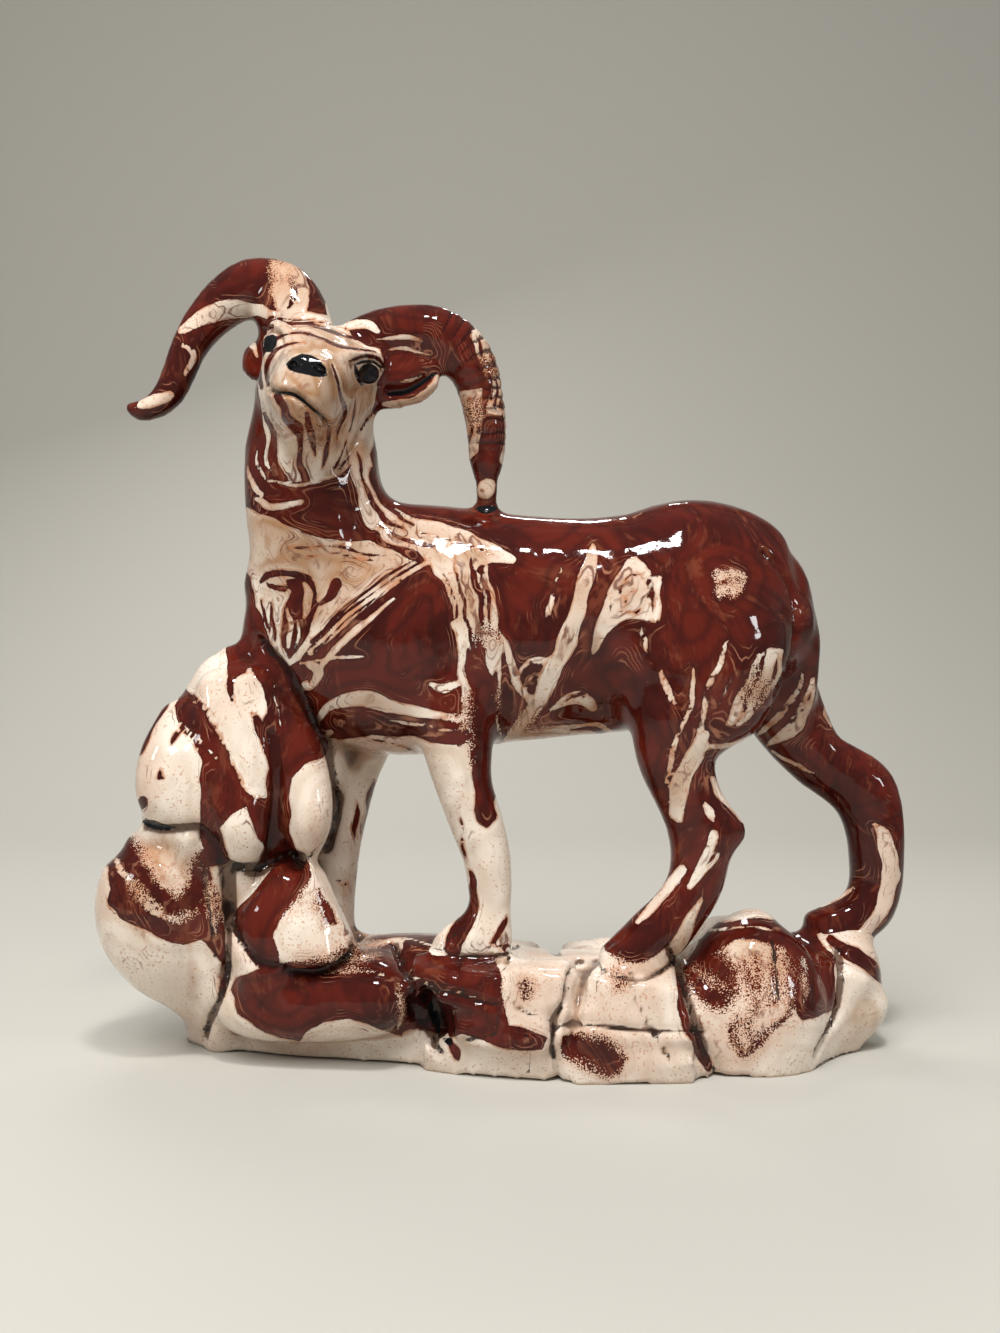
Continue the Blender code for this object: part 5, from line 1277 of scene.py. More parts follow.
# %% Slip on the far side
FAR_SLIP = [
    (CREAM, [(-80, 222), (-60, 227), (-42, 223), (-38, 205), (-40, 186), (-48, 178), (-62, 180), (-76, 188)]),
    (BROWN, [(-78, 210, 3), (-72, 198, 4), (-74, 184, 5), (-78, 170, 4)]),
    (BROWN, [(-44, 214, 0.6), (-50, 204, 1.4), (-48, 194, 1.8), (-54, 184, 1.2)]),
    (BROWN, [(-60, 218, 0.4), (-62, 208, 1), (-58, 198, 1.4), (-60, 188, 0.8)]),
    (BROWN, [(-76, 176, 2), (-62, 172, 4), (-50, 176, 3.4), (-42, 172, 2)]),
    (CREAM, [(-40, 192, 2.4), (-42, 178, 3.6), (-36, 166, 4.6), (-24, 160, 4.4), (-10, 157, 3.2),
        (2, 154, 1)]),
    (BROWN, [(-41, 182, 0.5), (-38, 170, 1), (-28, 162, 0.8), (-16, 158.6, 0.4)]),
    (CREAM, [(-80, 166), (-60, 162), (-40, 158), (-28, 150), (-40, 138), (-52, 128), (-64, 120), (-76, 132)]),
    (BROWN, [(-72, 156, 0.8), (-64, 148, 2.2), (-60, 138, 2.4), (-66, 126, 1.6)]),
    (BROWN, [(-50, 150, 0.5), (-46, 142, 1.4), (-52, 134, 1.6)]),
    (CREAM, [(-24, 156, 1.6), (-17, 146, 2.6), (-14, 132, 2.4), (-15, 116, 2), (-19, 102, 1.6),
        (-24, 92, 1.4)]),
    (CREAM, [(-6, 155, 1), (-3, 142, 2.2), (-5, 128, 2.6), (-9, 114, 1.2)]),
    (BROWN, [(-15, 150, 0.4), (-11, 136, 0.8), (-12, 120, 0.6)]),
    (CREAM, [(-52, 108, 1.2), (-42, 110, 2.4), (-30, 107, 1.6), (-20, 108, 0.8)]),
    (CREAM, [(12, 154, 1.8), (17, 142, 2.6), (18, 128, 2.6), (13, 114, 2.4), (10, 102, 2.2), (12, 94, 1.8)]),
    (CREAM, [(24, 150), (31, 154), (36, 147), (35, 137), (29, 133), (26, 140)]),
    (BROWN, [(29, 150, 0.3), (32, 145, 0.6), (30, 138, 0.4)]),
    (CREAM, [(44, 152, 0.4), (51, 143, 1.8), (55, 131, 2.4), (54, 119, 1.2)]),
    (CREAM, [(66, 158, 0.6), (72, 151, 2.6), (77, 146, 1.2)]),
    (CREAM, [(62, 122, 0.6), (66, 112, 1.8), (72, 102, 2), (80, 92, 1.4)]),
    (CREAM, [(73, 126, 0.8), (77, 115, 2.2), (84, 104, 2), (92, 92, 1.2)]),
    (CREAM, [(84, 124, 0.8), (87, 113, 1.8), (92, 103, 1.4)]),
    (CREAM, [(-2, 92), (12, 98), (34, 99), (46, 95), (40, 88), (0, 86)]),
    (CREAM, [(-58, 92), (-40, 96), (-26, 96), (-14, 92), (-12, 30), (-24, 30), (-36, 34), (-40, 30),
        (-64, 30)]),
    (BROWN, [(-46, 84, 0.6), (-48, 72, 1.8), (-46, 60, 1.2), (-50, 48, 2.2), (-54, 38, 1.6)]),
    (BROWN, [(-36, 78, 0.3), (-40, 66, 0.8), (-44, 56, 0.4)]),
    (CREAM, [(100, 82, 1), (108, 76, 2.2), (112, 66, 2.4), (116, 56, 1.4)]),
    (CREAM, [(120, 74, 0.6), (126, 62, 1.8), (125, 48, 2.4), (119, 38, 2.2), (110, 34, 1.4)]),
    (CREAM, [(62, 88, 1), (56, 76, 1.6), (58, 62, 1.8), (62, 48, 1.2)]),
]
FAR_HORNS = [
    (BROWN, [(-50, 226), (-56, 244), (-75, 250), (-95, 240), (-119, 200), (-110, 190), (-92, 205),
        (-80, 222)]),
    (CREAM, [(-70, 246, 0.8), (-78, 240, 2.4), (-88, 236, 2.2), (-96, 226, 1.6), (-100, 216, 1)]),
    (CREAM, [(-108, 202, 2), (-114, 201, 1.4)]),
    (CREAM, [(-62, 238, 2.2), (-60, 230, 1.8)]),
    (BROWN, [(-44, 222), (-36, 232), (-20, 236), (-4, 230), (6, 212), (4, 182), (-2, 172), (-12, 176),
        (-14, 196), (-20, 212), (-38, 212)]),
    (CREAM, [(-30, 226, 1), (-20, 226, 1.8), (-10, 221, 1.4), (-4, 212, 1)]),
    (CREAM, [(-3, 200, 0.8), (-2, 190, 1.4), (-5, 182, 0.8)]),
    (CREAM, [(-4.4, 174, 4)]),
    (BROWN, [(-38, 210), (-18, 212), (-18, 205), (-26, 198), (-36, 198)]),
]
FAR_ROCKS = [
    (CREAM, [(-130, -20), (-130, 72), (-112, 92), (-96, 122), (-80, 130), (-66, 122), (-54, 104),
        (-54, 60), (-48, 38), (-24, 35), (8, 37), (30, 37), (56, 36), (62, 48), (92, 48), (126, 34),
        (126, -20)]),
    (BROWN, [(-92, 124, 3), (-86, 114, 5.5), (-88, 102, 4.5), (-84, 90, 3.4), (-90, 78, 2)]),
    (BROWN, [(-72, 122, 4), (-66, 110, 5), (-68, 96, 5.5), (-66, 80, 4), (-71, 66, 2.4)]),
    (CREAM, [(-88, 112, 0.4), (-85, 102, 0.9), (-87, 92, 0.5)]),
    (BROWN, [(-104, 98, 1.6), (-100, 88, 2.6), (-103, 78, 1.4)]),
    (BROWN, [(-120, 62, 2), (-112, 56, 3.2), (-104, 54, 2.2), (-97, 60, 1.2)]),
    (BROWN, [(-122, 42, 1.6), (-112, 34, 3), (-100, 32, 3.4), (-92, 38, 1.8)]),
    (BROWN, [(-70, 58, 3), (-66, 46, 5), (-68, 34, 3.6)]),
    (BROWN, [(-62, 30), (-40, 33), (-18, 31), (-18, 20), (-32, 12), (-46, 14), (-60, 10)]),
    (CREAM, [(-56, 24, 0.3), (-42, 27, 0.6), (-28, 25, 0.3)]),
    (BROWN, [(-12, 6, 2), (-2, 12, 4.2), (10, 8, 3)]),
    (BROWN, [(22, 28, 2), (32, 24, 4), (44, 28, 2.4)]),
    (BROWN, [(26, 2, 1.6), (38, 4, 3.2), (48, 0, 1.6)]),
    (BROWN, [(58, 30, 3), (68, 36, 4.6), (80, 34, 3.4), (84, 24, 1.6)]),
    (BROWN, [(60, 8, 1.6), (70, 12, 3.6), (78, 6, 2)]),
    (BROWN, [(92, 30, 2.4), (102, 24, 3.4), (110, 14, 1.6)]),
    (BROWN, [(-116, 12, 0.8), (-104, 10, 2), (-96, 14, 1)]),
]
print(len(FAR_SLIP) + len(FAR_HORNS) + len(FAR_ROCKS), "strokes on the far side")

# %% [markdown]
# Each side is painted from its own viewpoint. Around the outline, where the surface turns from
# one view to the other, the two fields are mixed by the direction the surface faces. Mixing the
# numbers, not the colours, makes the edges of the slip swing smoothly from one pattern into the
# other, as a flowing glaze does.

# %% The slip field
def clearance(group):
    """How far every point lies from the nearest of some forms."""
    corners, faces = merged(group)
    tree = BVHTree.FromPolygons(corners.tolist(), faces)
    return np.array([tree.find_nearest(p)[3] for p in points])


STIRS = 9


def stirred(size, amount, seed):
    """A soft push in x and z for every point, which makes drawn lines waver as wet slip does."""
    chance = np.random.default_rng(seed)
    push = np.zeros((len(points), 2))
    for _ in range(STIRS):
        wave = chance.normal(size=3)
        wave *= 2 * np.pi / (np.linalg.norm(wave) * size * chance.uniform(0.6, 1.6))
        push += np.sin(points @ wave + chance.uniform(0, 2 * np.pi))[:, None] * chance.normal(size=2)
    return push * amount / math.sqrt(STIRS)


def eased(value, low, high):
    """0 below low, 1 above high, and a smooth climb between them."""
    share = np.clip((value - low) / (high - low), 0, 1)
    return share * share * (3 - 2 * share)


gaps = {"animal": clearance(forms[:ears_from]), "ears": clearance(forms[ears_from:horns_from]),
        "horns": clearance(forms[horns_from:rocks_from]), "rocks": clearance(forms[rocks_from:])}
print("nearest forms found,", round(time.time() - started, 1), "s")

# %% [markdown]
# Where a horn passes in front of the neck, a stroke that is meant for the horn mustn't land on the
# neck. So each group of forms has strokes of its own, and the nearest group decides which count.

# %% Painting both sides
FACE = (-56, 209)


def painted_side(view, slips):
    """The slip field of one side, from the strokes of each group of forms."""
    bare = np.full(len(points), -SLIP_REACH)
    field = painted(view, slips["animal"], bare)
    for group in ("horns", "ears", "rocks"):
        others = np.minimum.reduce([gaps[name] for name in gaps if name != group])
        share = eased(others - gaps[group], -1.0, 1.0)
        field += share * (painted(view, slips[group], bare) - field)
    return field


steady_view = readings(points, NEAR)
# the drawing of the face stays as it was placed
off_face = eased(np.linalg.norm(steady_view - FACE, axis=1), 16, 30)[:, None]
near_view = steady_view + stirred(11, 0.5, 1) * off_face
far_view = readings(points, FAR) + stirred(14, 1.6, 2)
towards_near = np.array(NEAR) - points
towards_near /= np.linalg.norm(towards_near, axis=1)[:, None]
# the near side's strokes reach a little way round the outline
near_share = eased((normals * towards_near).sum(1), -0.4, -0.02)
near_slip = painted_side(near_view, {"animal": HEAD_SLIP + CHEST_SLIP + BODY_SLIP + LEG_SLIP,
                                     "horns": HORN_SLIP, "ears": EAR_SLIP, "rocks": ROCK_SLIP})
far_slip = painted_side(far_view, {"animal": FAR_SLIP, "horns": FAR_HORNS, "ears": FAR_HORNS,
                                   "rocks": FAR_ROCKS})
slip = far_slip + near_share * (near_slip - far_slip)
print("slip laid,", round(100 * (slip > 0).mean()), "% cream,", round(time.time() - started, 1), "s")

# %% [markdown]
# Some finishing touches aren't slip. Black underglaze was dabbed on the nose and the eyes. Black is also
# painted as shade into a few deep places between the rocks, and into the hollow of the ear and around the
# bead as pooled glaze and painted shade. The cracks are darkened, partly as pooled glaze and partly as
# painted shade. Some cream is toned tan or threaded with fine veins, and the tan on the chest and under the
# belly is painted shade. Each of these is a number per point too, kept as a mesh attribute that the material
# can read.

# %% Black, tan, painted shade and veined places
BLACK_AND_SHADE = [
    # nose pad and mouth
    [(-67, 213.5), (-65, 215.5), (-62, 216.8), (-59, 216.4), (-56.5, 215), (-54.6, 212.5), (-54, 210),
     (-55.5, 209.4), (-58, 209.6), (-61, 210.3), (-64, 210.9), (-66.2, 212)],
    [(-72.6, 205.6, 0.2), (-70, 204.8, 0.4), (-67, 204.5, 0.5), (-64.5, 204, 0.6), (-62, 202.5, 0.55),
     (-60, 200.8, 0.45), (-58, 199, 0.5), (-56, 197.5, 0.4), (-54.5, 196, 0.35), (-53.8, 194.2, 0.15)],
    # eyes
    [(-41, 210.5, 3.3)],
    [(-45.6, 213.6, 0.2), (-44.9, 211.4, 0.7), (-44, 209, 0.9), (-43.2, 207.2, 0.5)],
    [(-45.4, 213.2, 0.2), (-43, 214.1, 0.5), (-39.8, 214.2, 0.5), (-37, 212.4, 0.3)],
    [(-73.6, 222), (-71, 223), (-69.6, 222), (-69.9, 219), (-71.5, 217.2), (-73.4, 217.2), (-74, 219.5)],
    # hollow of the ear, and the pool around the bead, both pooled glaze and painted shade
    [(-35, 204, 0.5), (-30, 204.6, 0.9), (-26, 206.6, 0.8), (-22, 209.4, 0.6), (-19.8, 211, 0.3)],
    [(-7.4, 168.4, 0.5), (-4.5, 168, 1.4), (-1.4, 168.4, 0.8)],
    # deep places between the rocks, painted black as shade
    [(-112.4, 70.8, 0.2), (-109, 69.8, 1.3), (-105.4, 68.8, 1.1), (-100, 68.2, 0.2)],
    [(-24, 16, 1.0), (-21, 11, 1.6), (-19, 5, 0.9)],
    [(-17.4, 2.4, 0.6), (-15.8, 1.8, 1.3)],
]
# tan slip, and on the chest and under the belly painted shade
TAN_AND_SHADE_SPOTS = [
    (-67, 240, 7), (-62, 234, 6), (-64, 226, 5), (-45, 222, 5), (-54, 192, 9), (-62, 184, 6),
    (-50, 178, 6), (-44, 186, 5), (-30, 162, 6), (-14, 158, 5), (-60, 156, 7), (-42, 152, 5),
    (-48, 138, 4), (-104, 202, 6), (98, 104, 9), (94, 98, 7), (72, 144, 5), (78, 30, 9), (41, 142, 7),
    (-48, 50, 5), (-40, 33, 7), (-40, 108, 4), (26, 120, 7), (12, 106, 5), (-106, 60, 8), (-112, 36, 5),
    (30, 96, 6), (68, 108, 4), (-90, 230, 6), (-70, 54, 4), (-12, 3, 4), (57, 34, 6), (114, 10, 6),
    (-3, 213, 14), (-8, 199, 11), (-8.5, 188, 9), (-26, 202, 12), (-58, 216, 14), (-46, 204, 12),
    (-67, 243, 10), (80, 27, 11), (-60, 138, 9), (-50, 132, 9), (-112, 48, 12), (-90, 46, 9),
    (-24, 154, 8), (-20, 157, 9), (-7, 154, 9), (25, 141, 7), (20, 126, 7), (28, 154, 6), (81, 112, 11),
    (72, 146, 7), (94, 104, 9), (-67, 238, 12), (-66, 150, 14), (-48, 151, 14), (-34, 150, 12),
    (-70, 163, 10), (-57, 203, 22), (-2, 212, 20), (-8, 195, 16), (-10, 140, 14), (-56, 120, 10),
    (-4.5, 174, 8), (86, 26, 9), (10, 99, 14), (30, 98, 14), (54, 84, 14),
]
VEINED = [
    (-56, 196, 12), (-62, 180, 9), (-48, 176, 8), (-60, 156, 12), (-44, 146, 9), (-68, 136, 10),
    (-30, 160, 9), (-12, 156, 9), (-6, 140, 9), (-52, 104, 8), (-34, 104, 10), (-16, 110, 10),
    (8, 112, 12), (16, 98, 10), (40, 142, 10), (96, 100, 12), (70, 104, 9), (-63, 238, 8), (-84, 230, 8),
    (-20, 218, 12), (-2, 204, 10), (80, 20, 8), (60, 84, 8), (-2, 124, 8), (40, 122, 6),
]


def touched(view, discs):
    """1 in the middle of the discs, fading to 0 at their edges."""
    share = np.zeros(len(points))
    for x, z, radius in discs:
        gap = np.linalg.norm(view - (x, z), axis=1)
        share = np.maximum(share, 1 - eased(gap, 0.35 * radius, radius))
    return share


# black underglaze, and black as painted shade in deep places and around the bead
black_and_shade = np.full(len(points), -SLIP_REACH)
for shape in BLACK_AND_SHADE:
    black_and_shade = np.maximum(black_and_shade, inside_shape(steady_view, shape))
black_and_shade = np.where(near_share > 0.5, black_and_shade, -SLIP_REACH)
tan_and_shade = near_share * touched(near_view, TAN_AND_SHADE_SPOTS)
veined = near_share * touched(near_view, VEINED) + (1 - near_share) * touched(far_view, VEINED)
sprayed = near_share * touched(near_view, SPRAYED) + (1 - near_share) * touched(far_view, SPRAYED)
print(len(BLACK_AND_SHADE) + len(TAN_AND_SHADE_SPOTS) + len(VEINED), "touches")

# %% [markdown]
# Contours of the slip field have corners where two strokes meet. The veins follow a softened copy of the
# field, so that they bend round such corners the way threads of slip do. Hollows are painted darker too,
# partly as glaze that runs into them and partly as painted shade. A point lies in a hollow when a softened
# copy of the clay passes outside it, so the gap between the two is kept as well.

# %% Gaps to the cracks
PRESSED = 0.02

crack_gap = np.full(len(points), SLIP_REACH)
for viewer, view in ((NEAR, steady_view), (FAR, readings(points, FAR))):
    for seen_from, width, _, line in CREVICES + FINE_LINES:
        if seen_from == viewer:
            gap = -inside_line(view, [(x, z, 0) for x, z in line])
            crack_gap = np.where(depth > PRESSED, np.minimum(crack_gap, gap), crack_gap)
crack_gap += 3 * near_share * touched(steady_view, CLEAR)
print(int((crack_gap < 1).sum()), "points in the cracks")

# %% [markdown]
# An attribute on the mesh is the way to hand a number per point to a material. The Attribute node
# reads it by name, and Blender blends it across the faces between the points.

# %% Numbers kept on the mesh
HOLLOW_PASSES = 30
THREAD_PASSES = 10

everywhere = np.ones(len(points))
hollow = ((smoothed(points, edges, everywhere, HOLLOW_PASSES) - points) * normals).sum(1)
threads = smoothed(np.stack([slip, tan_and_shade, sprayed], 1), edges, everywhere, THREAD_PASSES)
kept = {
    "slip": slip, "threads": threads[:, 0], "tan_and_shade": threads[:, 1], "sprayed": threads[:, 2],
    "veined": veined, "black_and_shade": black_and_shade, "crack_gap": crack_gap, "cracks": depth, "hollow": hollow,
    "rings": ring_depth / RING_DEPTH, "bare": on_foot.astype(float),
}
for name, values in kept.items():
    layer = skin.attributes.new(name, "FLOAT", "POINT")
    layer.data.foreach_set("value", values.astype(np.float32))
print("kept", ", ".join(kept))

# %% [markdown]
# ## The figure
#
# The finished mesh becomes one object. It stands for the imported solid and rides on the same body; its glaze
# is the material made below.

# %% The glazed ram
figure = bpy.data.objects.new("glazed_ram", skin)
bpy.context.scene.collection.objects.link(figure)
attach(figure, "root")
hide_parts("ram_figurine")
print(figure.name, len(skin.polygons), "faces")

# %% [markdown]
# ## Shader maths
#
# A material is a tree of nodes, and wiring it by hand hides what it works out. This class wraps
# one output socket, so that sums on sockets can be written as sums: each operator adds the Math
# node that does it. Every other node comes from one method, which sets the node's settings and
# then fills its sockets with values or links.

# %% Sockets in sums
class Wire:
    """An output socket that can be used in sums."""

    def __init__(self, tree, socket):
        self.tree = tree
        self.socket = socket

    def node(self, kind, settings, inputs, output=0):
        """Adds a node with these settings, fills its sockets and gives one of its outputs."""
        made = self.tree.nodes.new(kind)
        for name, value in settings.items():
            setattr(made, name, value)
        for name, value in inputs.items():
            if isinstance(value, Wire):
                self.tree.links.new(value.socket, made.inputs[name])
            else:
                made.inputs[name].default_value = value
        return Wire(self.tree, made.outputs[output])

    def math(self, operation, *values):
        """A Math node on these values."""
        return self.node("ShaderNodeMath", {"operation": operation}, dict(enumerate(values)))

    def unsigned(self):
        """The value without its sign."""
        return self.math("ABSOLUTE", self)

    def wave(self, top):
        """A wave that climbs to top and falls back to 0 as the value grows."""
        return self.math("PINGPONG", self, top)

    def __add__(self, other):
        return self.math("ADD", self, other)

    def __sub__(self, other):
        return self.math("SUBTRACT", self, other)

    def __rsub__(self, other):
        return self.math("SUBTRACT", other, self)

    def __mul__(self, other):
        return self.math("MULTIPLY", self, other)

    def __truediv__(self, other):
        return self.math("DIVIDE", self, other)

    __radd__ = __add__
    __rmul__ = __mul__


print("sockets take part in sums")

# %% [markdown]
# Five small helpers cover the rest: an eased step, a mix of two colours, noise of a given size
# in millimetres, one of the numbers kept on the mesh, and an empty material to start from. All
# noise is sampled in object space, so the pattern stays on the clay from every side.

# %% Steps, mixes and noise
def step(value, low, high):
    """0 below low, 1 above high, and eased between them."""
    return value.node("ShaderNodeMapRange", {"interpolation_type": "SMOOTHSTEP"},
                      {"Value": value, "From Min": low, "From Max": high})


def over(share, under, top):
    """One colour laid over another as far as share says."""
    return share.node("ShaderNodeMix", {"data_type": "RGBA"}, {0: share, 6: under, 7: top}, output=2)


def noise(places, size, detail=1.0):
    """Noise whose bumps are about size millimetres across, centred on 0."""
    bumps = {"Vector": places, "Scale": 1 / size, "Detail": detail}
    return places.node("ShaderNodeTexNoise", {}, bumps) - 0.5


def number(places, name):
    """One of the numbers kept on the mesh."""
    return places.node("ShaderNodeAttribute", {"attribute_name": name}, {}, output=2)


def empty_material(name):
    """A material with nothing in it but its output, and the wire that its nodes grow from."""
    material = bpy.data.materials.new(name)
    material.use_nodes = True
    tree = material.node_tree
    tree.nodes.clear()
    tree.nodes.new("ShaderNodeOutputMaterial")
    return material, Wire(tree, None)


print("helpers ready")

# %% [markdown]
# ## Marbled glaze
#
# The pattern is worked out from the slip field in the order in which the real one came about.
# First the edge between the slips wavers at two sizes, is drawn out into streaks, and breaks
# into grains where it was sprayed. Streaks and threads both come from space that is bent a
# little and then squeezed from top to bottom, since wet slip runs down. Threads are contour
# lines: a ping-pong of a soft field gives a wave whose troughs are thin lines that never cross.

# %% The pattern's parts
SWIRL_SIZE = 32
SWIRL_PUSH = (40, 40, 40)
SQUEEZE = (1.0, 1.0, 0.28)

glaze_material, start = empty_material("marbled_glaze")
object_space = start.node("ShaderNodeTexCoord", {}, {}, output=3)
mm = start.node("ShaderNodeVectorMath", {"operation": "SCALE"}, {0: object_space, "Scale": 1000.0})

swirl = start.node("ShaderNodeTexNoise", {}, {"Vector": mm, "Scale": 1 / SWIRL_SIZE, "Detail": 0.0},
                   output=1)
bent = start.node("ShaderNodeVectorMath", {"operation": "MULTIPLY_ADD"}, {0: swirl, 1: SWIRL_PUSH, 2: mm})
flow = start.node("ShaderNodeVectorMath", {"operation": "MULTIPLY"}, {0: bent, 1: SQUEEZE})

grain = noise(mm, 0.42, 0.0)
streaks = noise(flow, 1.5) + noise(flow, 5.0) * 0.6
feathered = noise(flow, 1.2) * (0.45 + number(mm, "sprayed") * 1.6)
edge = (number(mm, "slip") + noise(mm, 8.0) * 0.9 + noise(mm, 2.2) * 0.3 + feathered
        + number(mm, "sprayed") * grain * 10.0)
cream_share = step(edge, -0.12, 0.12)

inward = number(mm, "threads")
beside = 1 - step(inward.unsigned(), 0.6, 3.8)
drift = inward * 1.5 + noise(flow, 17.0) * 9.0 + noise(flow, 5.0) * 2.6 + noise(flow, 2.2) * 0.7
thread = drift.wave(0.95)
hair = (drift * 1.7 + noise(flow, 9.0) * 3.0).wave(1.0)
band = (drift + noise(flow, 2.6) * 1.5).wave(3.4) / 3.4
print("pattern from", len(kept), "numbers")

# %% [markdown]
# Cream slip is warm and uneven: pinkish where it is thin, tan where brown bled into it, with an orange rim
# along the brown and fine dark veins. The same tan also stands for pooled glaze and painted shade in hollows,
# and for painted shade on the chest and under the belly. Brown slip runs from red-brown to nearly black,
# darkest along its edges, with paler threads where cream was dragged into it.

# %% The two slips
CREAM_PALE = (0.71, 0.62, 0.52, 1)
CREAM_PINK = (0.60, 0.47, 0.375, 1)
# tan, which also stands for painted shade in hollows, on the chest and under the belly
CREAM_TAN_AND_SHADE = (0.36, 0.195, 0.098, 1)
RIM_ORANGE = (0.40, 0.15, 0.06, 1)
VEIN_DARK = (0.12, 0.035, 0.02, 1)
BROWN_RED = (0.088, 0.0100, 0.0050, 1)
BROWN_DEEP = (0.040, 0.0050, 0.0034, 1)
BROWN_WARM = (0.150, 0.035, 0.016, 1)
# the darkest brown, which also stands for painted shade in cracks and hollows
BROWN_EDGE_AND_SHADE = (0.024, 0.0040, 0.0030, 1)
THREAD_PALE = (0.36, 0.15, 0.085, 1)

tan_and_shade = number(mm, "tan_and_shade")
veined = number(mm, "veined")
veining = step(noise(mm, 9.0) + veined * 0.20 + beside * 0.13, 0.18, 0.32)
hairs = step(noise(mm, 7.0) + veined * 0.17 + beside * 0.14, 0.16, 0.32)
cream = over(step(noise(mm, 26.0), -0.10, 0.14), CREAM_PALE, CREAM_PINK)
# tan toning, which on the chest and under the belly is painted shade
cream = over((0.16 + 0.20 * tan_and_shade) * step(band, 0.30, 0.95) + tan_and_shade * 0.60, cream, CREAM_TAN_AND_SHADE)
cream = over((0.10 + 0.45 * tan_and_shade) * step(streaks, 0.06, 0.30), cream, BROWN_WARM)
cream = over((1 - step(edge, 0.3, 4.5)) * number(mm, "sprayed") * 0.55, cream, RIM_ORANGE)
dots = step(noise(mm, 0.75, 0.0) + noise(mm, 9.0) * 0.3 + number(mm, "sprayed") * 0.06, 0.19, 0.26)
# cream in hollows turns tan: partly pooled glaze, partly painted shade
cream = over(step(number(mm, "hollow") + noise(mm, 6.0) * 0.5, 0.10, 0.65) * 0.6, cream, CREAM_TAN_AND_SHADE)
cream = over(dots * 0.5, cream, RIM_ORANGE)
cream = over((1 - step(hair, 0.06, 0.36)) * hairs * 0.55, cream, VEIN_DARK)
cream = over((1 - step(thread, 0.05, 0.26)) * veining * 0.85, cream, VEIN_DARK)
cream = over((1 - step(edge, 0.05, 0.80)) * step(noise(mm, 6.0), -0.16, 0.16) * 0.8, cream, RIM_ORANGE)

brown = over(step(noise(mm, 24.0) + noise(flow, 4.0) * 0.5, -0.13, 0.15), BROWN_RED, BROWN_DEEP)
brown = over(step(noise(flow, 8.0) + noise(flow, 1.5) * 0.5, 0.06, 0.28) * 0.7, brown, BROWN_WARM)
brown = over(step(band, 0.35, 1.05) * 0.5, brown, BROWN_EDGE_AND_SHADE)
brown = over((1 - step(hair, 0.05, 0.34)) * hairs * 0.4, brown, THREAD_PALE)
pale = (1 - step(thread, 0.05, 0.24)) * step(noise(mm, 12.0) + veined * 0.24 + beside * 0.12, 0.16, 0.32)
brown = over(pale * 0.7, brown, THREAD_PALE)
brown = over(step(edge, -0.75, -0.10) * 0.55, brown, BROWN_EDGE_AND_SHADE)
print("two slips mixed")

# %% [markdown]
# Last come the black underglaze, which is also painted as shade in a few deep places, the dark glaze pooled
# in horn rings, the cracks and hollows darkened partly as pooled glaze and partly as painted shade, iron
# specks in the cream, and the bare clay of the foot. The clear glaze over it all is a very smooth gloss with
# faint waves, which a small bump gives; the bare foot is matt.

# %% Finishing the glaze
# the pooled glaze of the cracks, which also stands for painted shade there
POOLED_AND_SHADE = (0.020, 0.010, 0.007, 1)
# black underglaze, which also stands for painted shade in deep places
UNDERGLAZE_AND_SHADE = (0.006, 0.006, 0.007, 1)
BARE_CLAY = (0.60, 0.46, 0.34, 1)
IRON = (0.14, 0.05, 0.03, 1)

colour = over(cream_share, brown, cream)
specks = start.node("ShaderNodeTexVoronoi", {}, {"Vector": mm, "Scale": 0.22, "Randomness": 1.0})
colour = over((1 - step(specks, 0.035, 0.07)) * step(noise(mm, 15.0), 0.0, 0.1) * 0.8, colour, IRON)
colour = over(step(number(mm, "rings") + noise(mm, 2.0) * 0.5, 0.20, 0.65) * 0.9, colour, BROWN_EDGE_AND_SHADE)
# cracks and hollows darkened: partly pooled glaze, partly painted shade
hollow_pool_and_shade = step(number(mm, "cracks") * 0.5 + number(mm, "hollow") + noise(mm, 4.0) * 0.7, 0.30, 1.30)
colour = over(hollow_pool_and_shade * 0.72, colour, BROWN_EDGE_AND_SHADE)
# dark lines in the cracks: partly pooled glaze, partly painted shade
crack_pool_and_shade = 1 - step(number(mm, "crack_gap") + noise(mm, 5.0) * 2.2 + noise(mm, 1.3) * 0.5, 0.30, 0.90)
colour = over(crack_pool_and_shade * 0.94, colour, POOLED_AND_SHADE)
# black underglaze, also laid as painted shade in deep places between the rocks and around the bead
colour = over(step(number(mm, "black_and_shade") + noise(mm, 1.6) * 0.35, -0.16, 0.16), colour, UNDERGLAZE_AND_SHADE)
bare = step(number(mm, "bare"), 0.4, 0.6)
colour = over(bare, colour, BARE_CLAY)

gloss = 0.05 + bare * 0.65 + step(noise(mm, 5.0), 0.02, 0.2) * 0.03
waves = noise(mm, 14.0) * 2.2 + noise(mm, 6.0) * 0.7 + noise(mm, 1.4) * 0.05 + cream_share * 0.05
surface = start.node("ShaderNodeBump", {}, {"Strength": 0.35, "Distance": 0.0012, "Height": waves})
shader = start.node("ShaderNodeBsdfPrincipled", {}, {
    "Base Color": colour, "Roughness": gloss, "Normal": surface, "IOR": 1.52, "Specular IOR Level": 0.27})

glaze_tree = glaze_material.node_tree
glaze_tree.links.new(shader.socket, glaze_tree.nodes["Material Output"].inputs["Surface"])
skin.materials.clear()
skin.materials.append(glaze_material)
print(len(glaze_tree.nodes), "nodes in the glaze")

# %% [markdown]
# ## Stage, light and camera
#
# The figurine stands on a pale sweep of board that bends up behind it, so that no horizon cuts
# through the picture. The sweep is a strip of faces along a profile: flat, then a quarter
# circle, then straight up.

# %% The sweep
SWEEP_COLOUR = (0.45, 0.43, 0.385, 1)


